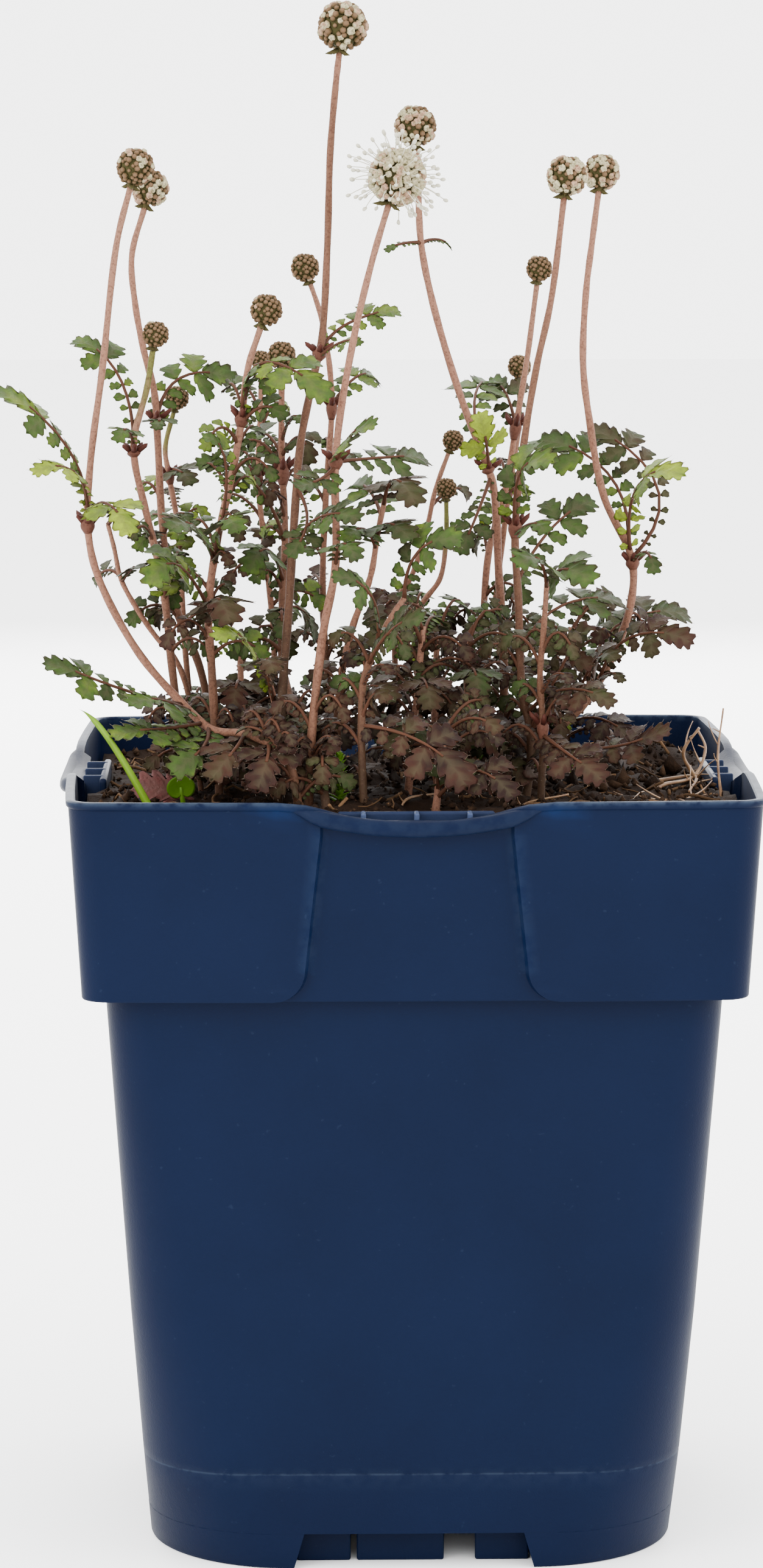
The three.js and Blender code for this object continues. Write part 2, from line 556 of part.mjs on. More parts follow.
// The drain holes: upright cylinders through the floor.
function drains() {
  const out = DRAIN.place * Math.SQRT2;
  return DRAIN.angles.map((angle) => {
    const hole = new THREE.CylinderGeometry(DRAIN.radius, DRAIN.radius, DRAIN.height, DRAIN.sides);
    const [x, y] = [out * Math.cos(radians(angle)), out * Math.sin(radians(angle))];
    return solid(hole.rotateX(Math.PI / 2).translate(x, y, (FLOOR_UNDER + FLOOR_TOP) / 2));
  });
}

function pot() {
  const recesses = onFourSides(() => slab(mirrored(PANEL_EDGE), ...DEPTHS.panel));
  const flaps = cut(loft(SKIRT_OUTSIDE), recesses);
  const panels = loft(inset(SKIRT_OUTSIDE, PANEL_RECESS));
  const insideHalf = (z) => halfWidthAt(inset(SKIRT_OUTSIDE, PANEL_RECESS + PANEL_WALL), z).slice(1);
  const underSkirt = [[SKIRT_BOTTOM - 1, ...insideHalf(SKIRT_BOTTOM)],
    [SHOULDER_UNDER, ...insideHalf(SHOULDER_UNDER)]];
  const overShoulder = [[SHOULDER_TOP, ...insideHalf(SHOULDER_TOP)], [RIM_TOP + 1, ...insideHalf(RIM_TOP)]];
  const scoops = onFourSides(() => slab(mirrored(SCOOP_EDGE), ...DEPTHS.scoop));
  const skirt = cut(flaps.add(panels), [loft(underSkirt), loft(overShoulder), ...scoops]);
  const tongues = onFourSides(tongue);
  const ribOutline = (x) => boxOutline(
    x - RIB_THICKNESS / 2, x + RIB_THICKNESS / 2, SHOULDER_UNDER + REACH_IN, RIB_TOP);
  const ribs = RIB_PLACES.flatMap((x) => onFourSides(() => slab(ribOutline(x), ...DEPTHS.rib)));
  const upper = join([loft(BODY_OUTSIDE), skirt, ...tongues, ...ribs, ...onFourSides(lip)]);
  const footHalf = inset([halfWidthAt(BODY_OUTSIDE, 0)], FOOT_WALL)[0].slice(1);
  const footHollow = [[BELOW_GROUND, ...footHalf], [FLOOR_UNDER, ...footHalf]];
  const { bottom, top, height } = FOOT_NOTCH;
  const notch = [[-bottom, BELOW_GROUND], [bottom, BELOW_GROUND], [top, height], [-top, height]];
  const notches = onFourSides(() => slab(notch, ...DEPTHS.notch));
  const cavity = cavityLevels(0, FLOOR_TOP, SHOULDER_TOP);
  cavity.push([SHOULDER_TOP + CUT_PAST, ...cavity.at(-1).slice(1)]);
  const open = cut(upper, [loft(cavity), loft(footHollow), ...notches, ...drains()]);
  const padHeight = FLOOR_UNDER + REACH_IN;
  const blocks = FOOT_BLOCKS.flatMap(([x0, x1]) => onFourSides(() => slab(
    boxOutline(x0, x1, 0, padHeight), -FOOT_BLOCK_FRONT, -FOOT_BLOCK_FRONT + FOOT_BLOCK_DEPTH)));
  const pad = new THREE.CylinderGeometry(CENTRE_PAD_RADIUS, CENTRE_PAD_RADIUS, padHeight, CENTRE_PAD_SIDES)
    .rotateX(Math.PI / 2).translate(0, 0, padHeight / 2);
  return join([open, ...blocks, solid(pad)]);
}

// Height of the soil's lumpy surface, lower towards the back with a mound at the back right.
function soilHeight(x, y) {
  const { x: mx, y: my, height, spread } = SOIL_MOUND;
  const away = ((x - mx) ** 2 + (y - my) ** 2) / spread ** 2;
  const { x: wx, start, y: wy, slantX, slantY } = SOIL_WAVES;
  const lumps = Math.sin(x * wx + start) * Math.cos(y * wy) + Math.sin(x * slantX - y * slantY);
  return SOIL_FRONT_HEIGHT - SOIL_FALL * (y + SOIL_FRONT) + SOIL_LUMP * lumps + height * Math.exp(-away);
}

function soilBlock() {
  const fill = cavityLevels(CLEARANCE, FLOOR_TOP + CLEARANCE, SHOULDER_TOP);
  const ledge = SHOULDER_TOP + CLEARANCE;
  const levels = [...fill.slice(0, -1), [ledge, ...fill.at(-1).slice(1)], [ledge, ...SOIL_EDGE]];
  const rings = levels.map((level) => squareRing(level));
  const edge = rings.at(-1);
  for (const scale of SOIL_RINGS) {
    rings.push(edge.map(([x, y]) => [x * scale, y * scale, soilHeight(x * scale, y * scale)]));
  }
  return solid(skin(rings));
}

function soil(rootHoles) {
  const half = TONGUE_HALF + CLEARANCE;
  const pocket = boxOutline(-half, half, SHOULDER_TOP - CLEARANCE, POCKET_TOP);
  const pockets = onFourSides(() => slab(pocket, ...DEPTHS.pocket));
  return cut(soilBlock(), [...pockets, ...rootHoles]);
}

// A round stalk along a route.
function stalk(route, radius, sides = STEM_SIDES) {
  const section = new THREE.Shape(polygon(sides).map((p) => p.multiplyScalar(radius)));
  const curve = new THREE.CatmullRomCurve3(route.map(point));
  const steps = route.length;
  const geometry = new THREE.ExtrudeGeometry(section, {
    steps, bevelEnabled: false, extrudePath: curve,
  });
  return { curve, whole: solid(geometry), geometry };
}

// The hole that a stalk stands in: the same curve, wider and a little deeper.
const hole = (route, radius, sides) => {
  const wide = (radius + CLEARANCE) / Math.cos(Math.PI / sides) + HOLE_SLACK;
  return stalk(route, wide, sides).whole.translate([0, 0, -CLEARANCE]);
};

const onRoute = (curve, place) => curve.getPoint(Math.min(place / (curve.points.length - 1), 1));

// The swollen leaf sheath round a joint of the stem.
function sheath(curve, place, radius) {
  const at = onRoute(curve, place);
  const along = curve.getTangent(Math.min(place / (curve.points.length - 1), 1));
  const profile = SHEATH_PROFILE
    .map(([r, h]) => new THREE.Vector2(r * radius, h * SHEATH_LENGTH));
  const geometry = new THREE.LatheGeometry(profile, STEM_SIDES);
  geometry.applyQuaternion(new THREE.Quaternion().setFromUnitVectors(ALONG_Y, along));
  return solid(geometry.translate(at.x, at.y, at.z));
}

// One toothed leaflet's edge: [along the leaflet, across it], from one side of its base to the other.
function toothedEdge(length, teeth) {
  const { sweep, middle, reach, half, notch } = TOOTHED;
  const last = 2 * teeth - 2;
  return Array.from({ length: last + 1 }, (_, i) => {
    const angle = radians(sweep * (2 * i / last - 1));
    const size = i % 2 ? notch : 1;
    return [length * (middle + reach * size * Math.cos(angle)), length * half * size * Math.sin(angle)];
  });
}

// The whole leaf laid flat: [along the leaf stalk, across it]. The leaflets are cut to the rib.
function leafOutline(length, pairs, size, teeth) {
  const side = [[0, RIB_HALF]];
  const places = [];
  let along = length;
  for (let k = 0; k < pairs; k++) {
    along -= LEAFLET_STEP[k] * size;
    if (along > FIRST_PLACE.share * size + FIRST_PLACE.margin) places.unshift([along, k]);
  }
  const turn = radians(LEAFLET_ANGLE);
  for (const [at, k] of places) {
    const leaflet = LEAFLET_LENGTH[k] * size;
    for (const [f, g] of k ? SMALL_LEAFLET : LARGE_LEAFLET) {
      const [a, b] = [f * leaflet, g * leaflet];
      const out = RIB_HALF + a * Math.sin(turn) + b * Math.cos(turn);
      side.push([at + a * Math.cos(turn) - b * Math.sin(turn), Math.max(out, RIB_NARROW)]);
    }
  }
  const end = toothedEdge(size, teeth + 1).map(([a, b]) => [length - size + a, b]);
  return [...side.map(([s, w]) => [s, -w]), ...end, ...side.reverse()];
}

// A leaf on a bent stalk: a thin arched blade whose face leans to the front and up.
function leafBlade(leaf, thickness) {
  const { pairs, size, teeth } = leaf;
  const largest = (length) => Math.min(size, length * END_LEAFLET_SHARE);
  const outlineFor = (length) => leafOutline(length, pairs, largest(length), teeth);
  return bentBlade(leaf, outlineFor, thickness);
}

// A flat outline of [along, across] bent over a curve from base to tip, as thick as asked.
function bentBlade({ base, middle, tip, lean }, outlineFor, thickness) {
  const control = middle.clone().multiplyScalar(2).addScaledVector(base, -0.5).addScaledVector(tip, -0.5);
  const curve = new THREE.QuadraticBezierCurve3(base, control, tip);
  const length = curve.getLength();
  const outline = outlineFor(length);
  const flat = outline.map(([s, w]) => new THREE.Vector2(s, w));
  const faces = THREE.ShapeUtils.triangulateShape(flat, []);
  const sky = new THREE.Vector3(0, -Math.sin(radians(lean)), Math.cos(radians(lean)));
  const positions = [];
  for (const half of [thickness / 2, -thickness / 2]) {
    for (const [s, w] of outline) {
      const u = Math.min(Math.max(s / length, 0), 1);
      const along = curve.getTangentAt(u);
      const across = new THREE.Vector3().crossVectors(along, sky).normalize();
      const up = new THREE.Vector3().crossVectors(across, along);
      const rise = half - DROOP * Math.abs(w);
      const p = curve.getPointAt(u).addScaledVector(across, w).addScaledVector(up, rise);
      positions.push(p.x, p.y, p.z);
    }
  }
  const n = outline.length;
  const index = [];
  for (const [a, b, c] of faces) index.push(a, b, c, n + a, n + c, n + b);
  for (let i = 0; i < n; i++) {
    const j = (i + 1) % n;
    index.push(i, n + i, n + j, i, n + j, j);
  }
  const geometry = new THREE.BufferGeometry();
  geometry.setAttribute('position', new THREE.Float32BufferAttribute(positions, 3));
  geometry.setIndex(index);
  return geometry;
}

// The same leaf turned round the stem and lifted, for where it would cross something else.
function turned(leaf, degrees, lift) {
  const swing = (p, rise) => {
    const out = p.clone().sub(leaf.base).applyAxisAngle(UPWARDS, radians(degrees));
    return out.add(leaf.base).addScaledVector(UPWARDS, rise);
  };
  return { ...leaf, middle: swing(leaf.middle, lift * LIFT_AT_MIDDLE), tip: swing(leaf.tip, lift) };
}

// Everything that a new leaf has to stay clear of.
const obstacles = [];

// What belongs to the same shoot may be met, up to a volume called room.
function addObstacle(geometry, owner, room) {
  geometry.computeBoundingBox();
  obstacles.push({ whole: solid(geometry), box: geometry.boundingBox.clone(), owner, room });
}

function isClear(leaf, owner) {
  const geometry = leafBlade(leaf, BLADE);
  geometry.computeBoundingBox();
  const whole = solid(geometry);
  return obstacles.every((one) => {
    const room = one.owner === owner ? one.room : 0;
    return !one.box.intersectsBox(geometry.boundingBox) || whole.intersect(one.whole).volume() <= room;
  });
}

// A leaf in the first place that is free, or none.
function placeLeaf(leaf, owner) {
  for (const lift of WAYS_TO_LIFT) {
    for (const degrees of WAYS_TO_TURN) {
      const way = turned(leaf, degrees, lift);
      if (isClear(way, owner)) {
        addObstacle(leafBlade(way, BLADE + 2 * CLEARANCE), owner, ROOM_AT_BASE);
        return [solid(leafBlade(way, BLADE))];
      }
    }
  }
  return [];
}

// A flower head: a ball whose surface is raised into florets, plain where the stalk comes in.
function head([centre, radius, detail], down) {
  const ball = new THREE.IcosahedronGeometry(1, detail);
  const coarse = new THREE.IcosahedronGeometry(1, detail === 3 ? 1 : 0).attributes.position;
  const florets = [];
  for (let i = 0; i < coarse.count; i++) florets.push(new THREE.Vector3().fromBufferAttribute(coarse, i));
  if (detail === 2) {
    for (let i = 0; i < coarse.count; i += 3) {
      florets.push(florets[i].clone().add(florets[i + 1]).add(florets[i + 2]).normalize());
    }
  }
  const place = ball.attributes.position;
  const p = new THREE.Vector3();
  for (let i = 0; i < place.count; i++) {
    p.fromBufferAttribute(place, i).normalize();
    const near = florets.some((floret) => floret.distanceTo(p) < FLORET_REACH);
    const raised = near && p.dot(down) < BARE_AT_STALK;
    p.multiplyScalar(radius * (raised ? 1 : HEAD_CORE));
    place.setXYZ(i, p.x + centre[0], p.y + centre[1], p.z + centre[2]);
  }
  return ball;
}

// A thin spike with three sides from a point, in a direction.
function spike(from, out, length, half) {
  const cone = new THREE.ConeGeometry(half, length, 3).translate(0, length / 2, 0);
  cone.applyQuaternion(new THREE.Quaternion().setFromUnitVectors(ALONG_Y, out));
  return solid(cone.translate(from.x, from.y, from.z));
}

// The open flower's stamens: spikes all round, a golden angle apart, except towards the stalk.
function stamens([centre, radius], down) {
  const { count, reach, uneven, half, start, bare } = STAMENS;
  const all = [];
  for (let i = 0; i < count; i++) {
    const z = 1 - 2 * (i + 0.5) / count;
    const angle = radians(GOLDEN_ANGLE * i);
    const r = Math.sqrt(1 - z * z);
    const out = new THREE.Vector3(r * Math.cos(angle), r * Math.sin(angle), z);
    if (out.dot(down) > bare) continue;
    const from = point(centre).addScaledVector(out, radius * start);
    all.push(spike(from, out, reach - uneven * Math.abs(scatter(i, 1)) - radius * start, half));
  }
  return all;
}

// A stalk that carries a head stops just under it.
function routeToHead(shoot) {
  if (!shoot.head) return { route: shoot.route, down: null };
  const [centre, radius] = shoot.head;
  const down = point(shoot.route.at(-1)).sub(point(centre)).normalize();
  const end = point(centre).addScaledVector(down, radius * HEAD_CORE + CLEARANCE);
  return { route: [...shoot.route, end.toArray()], down };
}

// The leaves of low growth, as a shoot's are given.
function tuftLeaves(curve, { leaves, reach }) {
  const { first, span, scatter: spread, taper, middle, rise, uneven, sag } = TUFT_LEAVES;
  return Array.from({ length: leaves }, (_, i) => {
    const place = first + span * (i + 0.5) / leaves;
    const angle = radians(GOLDEN_ANGLE * i + spread * scatter(i, 2));
    const out = reach * (1 - taper * i / leaves);
    const from = onRoute(curve, place);
    const up = rise + uneven * scatter(i, 3);
    const away = (share, height) => [
      from.x + out * share * Math.cos(angle), from.y + out * share * Math.sin(angle), from.z + height];
    return [place, away(middle, up), away(1, up * sag - 1), 1, TUFT_LEAFLET];
  });
}

const nodes = [];
const rootHoles = [];

// A stem, its hole in the soil, and the room that leaves of other shoots leave to it.
function plantStem(name, route, radius) {
  const stem = stalk(route, radius);
  addObstacle(stalk(route, radius + CLEARANCE).geometry, name, Infinity);
  rootHoles.push(hole(route, radius, STEM_SIDES));
  return stem;
}

for (const [name, shoot] of Object.entries(SHOOTS)) {
  const { route, down } = routeToHead(shoot);
  const stem = plantStem(name, route, shoot.radius);
  const pieces = [stem.whole];
  if (shoot.sheath !== null) pieces.push(sheath(stem.curve, shoot.sheath, shoot.radius));
  nodes.push({ name, curve: stem.curve, pieces, leaves: shoot.leaves });
  if (shoot.head) {
    const ball = head(shoot.head, down);
    const stamenSolids = name === 'open_flower' ? stamens(shoot.head, down) : [];
    const colour = PALE_HEADS.includes(name) ? 'pale_head' : 'head';
    addNode(`head_${name}`, join([solid(ball), ...stamenSolids]), colour, 0.8);
    addObstacle(ball, null, 0);
  }
}
for (const [name, tuft] of Object.entries(TUFTS)) {
  const bend = tuft.root.map((v, k) => v * (1 - TUFT_BEND) + tuft.top[k] * TUFT_BEND);
  const stem = plantStem(name, [tuft.root, bend, tuft.top], TUFT_RADIUS);
  nodes.push({ name, curve: stem.curve, pieces: [stem.whole], leaves: tuftLeaves(stem.curve, tuft) });
}

nodes.forEach((node, count) => {
  node.leaves.forEach(([place, middle, tip, pairs, size], i) => {
    const lean = TILT_TO_LIGHT + TILT_SCATTER * scatter(count, i);
    const teeth = SHOOTS[node.name] && size > LARGE_LEAF ? TEETH.large : TEETH.small;
    const base = onRoute(node.curve, place);
    const leaf = { base, middle: point(middle), tip: point(tip), pairs, size, teeth, lean };
    node.pieces.push(...placeLeaf(leaf, node.name));
  });
  addNode(node.name, join(node.pieces), TUFTS[node.name] ? 'tuft' : 'shoot', 0.7);
});

const onSoil = ([x, y, over]) => [x, y, soilHeight(x, y) + over];
const sunk = [];

function litterStalk(route, radius) {
  sunk.push(hole(route, radius, LITTER_SIDES));
  return stalk(route, radius, LITTER_SIDES).whole;
}

for (const [name, { radius, routes }] of Object.entries(STRAWS)) {
  addNode(name, join(routes.map((route) => litterStalk(route.map(onSoil), radius))), 'straw', 0.7);
}

for (const [name, { root, height, leaves, reach }] of Object.entries(SPRIGS)) {
  const foot = onSoil(root);
  const [x, y, z] = foot;
  const route = [foot, [x + SPRIG_BEND, y, z + height / 2], [x, y, z + height]];
  const pieces = [litterStalk(route, SPRIG_RADIUS)];
  const { first, span, out, up, half } = SPRIG_LEAVES;
  for (let i = 0; i < leaves; i++) {
    const angle = radians(GOLDEN_ANGLE * i);
    const from = new THREE.Vector3(x + SPRIG_BEND / 2, y, z + height * (first + span * i / leaves));
    const way = new THREE.Vector3(Math.cos(angle) * out, Math.sin(angle) * out, up).normalize();
    pieces.push(spike(from, way, reach, half));
  }
  addNode(name, join(pieces), 'weed', 0.6);
}

// A round body over the soil where the moss grows, from a profile of [radius, height].
function mossBody(profile) {
  const body = new THREE.LatheGeometry(profile.map(([r, z]) => new THREE.Vector2(r, z)), MOSS.sides);
  return solid(body.rotateX(Math.PI / 2).translate(...onSoil([...MOSS.centre, 0])));
}

function mossLeaf(i) {
  const angle = radians(GOLDEN_ANGLE * i);
  const out = MOSS.radius * MOSS_LEAVES.spread * Math.sqrt((i + 0.5) / MOSS.leaves);
  const side = new THREE.Vector3(Math.cos(angle), Math.sin(angle), 0);
  const from = point(onSoil([...MOSS.centre, MOSS_LEAVES.start])).addScaledVector(side, out);
  const way = side.multiplyScalar(MOSS_LEAVES.lean).add(UPWARDS).normalize();
  return spike(from, way, MOSS.reach, MOSS_LEAVES.half);
}

const { radius: mossRadius, height: mossHeight, depth: mossDepth } = MOSS;
const mossDome = mossBody([[0, -mossDepth], [mossRadius * 0.9, -mossDepth], [mossRadius, 0.1],
  [mossRadius * 0.6, mossHeight * 0.8], [0, mossHeight]]);
const mossHole = [-mossDepth - CLEARANCE, MOSS_HOLE_TOP];
const mossWide = mossRadius + CLEARANCE;
sunk.push(mossBody([[0, mossHole[0]], [mossWide, mossHole[0]], [mossWide, mossHole[1]], [0, mossHole[1]]]));
const mossLeaves = Array.from({ length: MOSS.leaves }, (_, i) => mossLeaf(i));
addNode('moss_patch', join([mossDome, ...mossLeaves]), 'weed', 0.9);

// A flat leaf of its own outline [along, across], bent through three points of the litter.
function litterBlade(route, outline, thickness, lean) {
  const [base, middle, tip] = route.map((p) => point(onSoil(p)));
  return solid(bentBlade({ base, middle, tip, lean }, outline, thickness));
}

const grassOutline = (wider) => (length) => {
  const side = GRASS_PLACES.map((f) => [f * length, wider * GRASS.half * (1 - GRASS.taper * f)]);
  return [...side.map(([s, w]) => [s, -w]), [length, 0], ...side.reverse()];
};
const grassRoute = [GRASS.root, GRASS.middle, GRASS.tip];
addNode('grass_blade', litterBlade(grassRoute, grassOutline(1), BLADE, LEANS.grass), 'weed', 0.5);
const [grassX, grassY, grassDeep] = GRASS.root;
const deepRoute = [[grassX, grassY, grassDeep - GRASS_HOLE.deeper], GRASS.middle, GRASS.tip];
sunk.push(litterBlade(deepRoute, grassOutline(GRASS_HOLE.wider), BLADE + 2 * CLEARANCE, LEANS.grass));

// The seedling's round leaf, as [along, across] in shares of its radius.
const kidney = Array.from({ length: SEEDLING.points }, (_, i) => {
  const angle = radians(SEEDLING.sweep * (2 * i / (SEEDLING.points - 1) - 1));
  return [Math.cos(angle), Math.sin(angle)];
});
const seedTop = point(onSoil(SEEDLING.top));
const leafTop = seedTop.clone().add(point([...SEED_LEAF_LEAN, SEEDLING.radius * SEED_LEAF_LENGTH]));
const leafMiddle = seedTop.clone().lerp(leafTop, 0.5);
const kidneyOutline = (length) => kidney.map(
  ([s, w]) => [length - SEEDLING.radius * (1 - s), SEEDLING.radius * w]);
const seedLeaf = bentBlade({ base: seedTop, middle: leafMiddle, tip: leafTop, lean: LEANS.seedling },
  kidneyOutline, BLADE);
const seedRoute = [onSoil(SEEDLING.root), seedTop.toArray(), leafMiddle.toArray()];
const seedStalk = litterStalk(seedRoute, SEEDLING.stalk);
addNode('seedling', join([seedStalk, solid(seedLeaf)]), 'weed', 0.5);

for (const [name, route] of Object.entries(DEAD_LEAVES)) {
  const outline = (length) => leafOutline(length, 0, length * END_LEAFLET_SHARE, DEAD_LEAF_TEETH);
  addNode(name, litterBlade(route, outline, BLADE, LEANS.dead), 'dead', 0.85);
}

addNode('soil', soil([...rootHoles, ...sunk]), 'soil', 0.95);
addNode('pot', pot(), 'pot', 0.45);

export default part;
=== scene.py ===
# %% [markdown]
# # A copper-leaved New Zealand bur in its square nursery pot
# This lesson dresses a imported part. The part is a pot, its soil, shoots, flower heads and litter, all in one
# frame: metres, +Z up, the origin under the middle of the pot, and the pot's front facing -Y. Sizes are
# written in millimetres, as a gardener would read them, and become metres when a mesh is made.

import math

import bpy
import numpy as np
from mathutils import Matrix, Vector


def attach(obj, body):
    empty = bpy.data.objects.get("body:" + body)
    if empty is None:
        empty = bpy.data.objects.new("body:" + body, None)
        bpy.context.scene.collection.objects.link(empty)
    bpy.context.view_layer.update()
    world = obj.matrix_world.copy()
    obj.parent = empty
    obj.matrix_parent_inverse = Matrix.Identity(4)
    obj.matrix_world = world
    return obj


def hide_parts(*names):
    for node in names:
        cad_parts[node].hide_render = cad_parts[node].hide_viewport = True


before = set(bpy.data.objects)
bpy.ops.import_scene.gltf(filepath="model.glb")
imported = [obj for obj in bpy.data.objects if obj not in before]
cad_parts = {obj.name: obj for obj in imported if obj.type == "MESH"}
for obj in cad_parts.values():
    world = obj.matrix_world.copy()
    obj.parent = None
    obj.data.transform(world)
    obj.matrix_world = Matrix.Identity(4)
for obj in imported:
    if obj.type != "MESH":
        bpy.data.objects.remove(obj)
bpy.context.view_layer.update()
MM = 0.001

# %% [markdown]
# ## From arrays to a mesh
# Every piece is worked out as arrays: points, and faces that name the points. A patch holds such arrays for
# a stretch of surface, together with numbers that the finish needs at each point, such as how near a leaf's
# edge it is. Many patches are stacked into one piece. Quads are cut into triangles, points that fall on
# each other are welded, and triangles that have shrunk to a line are dropped, which closes seams and poles.

# %% Patches and stacks
NO_LENGTH = 1e-9
WELD_DECIMALS = 4


def unit(v):
    """Vectors scaled to length one; one without a length stays as it is."""
    return v / np.maximum(np.linalg.norm(v, axis=-1, keepdims=True), NO_LENGTH)


def grid_quads(rows, columns, closed=False):
    """Quads between neighbouring rows and columns of points numbered row by row."""
    r = np.arange(rows - 1)[:, None] * columns
    c = np.arange(columns if closed else columns - 1)[None, :]
    n = (c + 1) % columns
    return np.stack([r + c, r + n, r + columns + n, r + columns + c], -1).reshape(-1, 4)


def patch(points, faces, **marks):
    """Points, triangles, and a number or vector for each point under each name in marks."""
    points = np.asarray(points, float).reshape(-1, 3)
    if faces.shape[1] == 4:
        faces = np.concatenate([faces[:, [0, 1, 2]], faces[:, [0, 2, 3]]])
    full = {key: np.broadcast_to(np.asarray(value, float).ravel(), len(points))
            for key, value in marks.items()}
    return points, faces, full


def stack(patches):
    """Several patches as one: faces are renumbered, and a mark that one lacks is zero there."""
    keys = sorted({key for p in patches for key in p[2]})
    starts = np.cumsum([0] + [len(p[0]) for p in patches])
    points = np.concatenate([p[0] for p in patches])
    faces = np.concatenate([p[1] + start for p, start in zip(patches, starts)])
    marks = {key: np.concatenate([p[2].get(key, np.zeros(len(p[0]))) for p in patches]) for key in keys}
    return points, faces, marks


print("a grid of 3 by 4 points has", len(grid_quads(3, 4)), "quads")


# %% A stack of patches as a piece of the frame
def piece(name, patches, material, nodes, sharp_degrees=None):
    """Welds the patches, writes them into a mesh, and ties the object to the frame."""
    points, faces, marks = stack(patches)
    rounded = np.round(points, WELD_DECIMALS)
    _, first, same = np.unique(rounded, axis=0, return_index=True, return_inverse=True)
    faces = same.reshape(-1)[faces]
    whole = (faces[:, 0] != faces[:, 1]) & (faces[:, 1] != faces[:, 2]) & (faces[:, 0] != faces[:, 2])
    points, faces = points[first], faces[whole]
    mesh = bpy.data.meshes.new(name)
    mesh.vertices.add(len(points))
    mesh.vertices.foreach_set("co", (points * MM).ravel())
    mesh.loops.add(faces.size)
    mesh.loops.foreach_set("vertex_index", faces.ravel().astype(np.int32))
    mesh.polygons.add(len(faces))
    mesh.polygons.foreach_set("loop_start", np.arange(0, faces.size, 3, dtype=np.int32))
    mesh.polygons.foreach_set("use_smooth", np.ones(len(faces), bool))
    mesh.update(calc_edges=True)
    mesh.validate()
    for key, values in marks.items():
        stored = mesh.attributes.new(key, "FLOAT", "POINT")
        stored.data.foreach_set("value", values[first].astype(np.float32))
    if sharp_degrees:
        mesh.set_sharp_from_angle(angle=math.radians(sharp_degrees))
    mesh.materials.append(material)
    made = bpy.data.objects.new(name, mesh)
    bpy.context.scene.collection.objects.link(made)
    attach(made, "root")
    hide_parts(*nodes)
    return made


print("points closer than", 10.0**-WELD_DECIMALS, "mm are welded")

# %% [markdown]
# ## Shader sums written as sums
# A finish is arithmetic on numbers that change over the surface. The small class below wraps one output of
# a node, so that `noise * 0.3 + edge` adds the Math nodes by itself. Any other node comes from `Finish.node`,
# which takes the node's type, its settings and what goes into its sockets.

# %% A socket that can be added and multiplied
class Value:
    """One output socket that changes over the surface."""

    def __init__(self, finish, socket):
        self.finish, self.socket = finish, socket

    def sum_node(self, operation, *values):
        """A Math node over the given values."""
        made = self.finish.node("Math", {"operation": operation}, {i: v for i, v in enumerate(values)})
        return Value(self.finish, made.outputs[0])

    def __add__(self, other):
        return self.sum_node("ADD", self, other)

    def __mul__(self, other):
        return self.sum_node("MULTIPLY", self, other)

    def __sub__(self, other):
        return self.sum_node("SUBTRACT", self, other)

    def __rsub__(self, other):
        return self.sum_node("SUBTRACT", other, self)

    def __pow__(self, other):
        return self.sum_node("POWER", self, other)

    __radd__, __rmul__ = __add__, __mul__

    def above(self, edge, softness=0.05):
        """0 below the edge, 1 above it, with a soft step between."""
        step = {0: self, 1: edge - softness, 2: edge + softness}
        made = self.finish.node("MapRange", {"interpolation_type": "SMOOTHSTEP"}, step)
        return Value(self.finish, made.outputs[0])


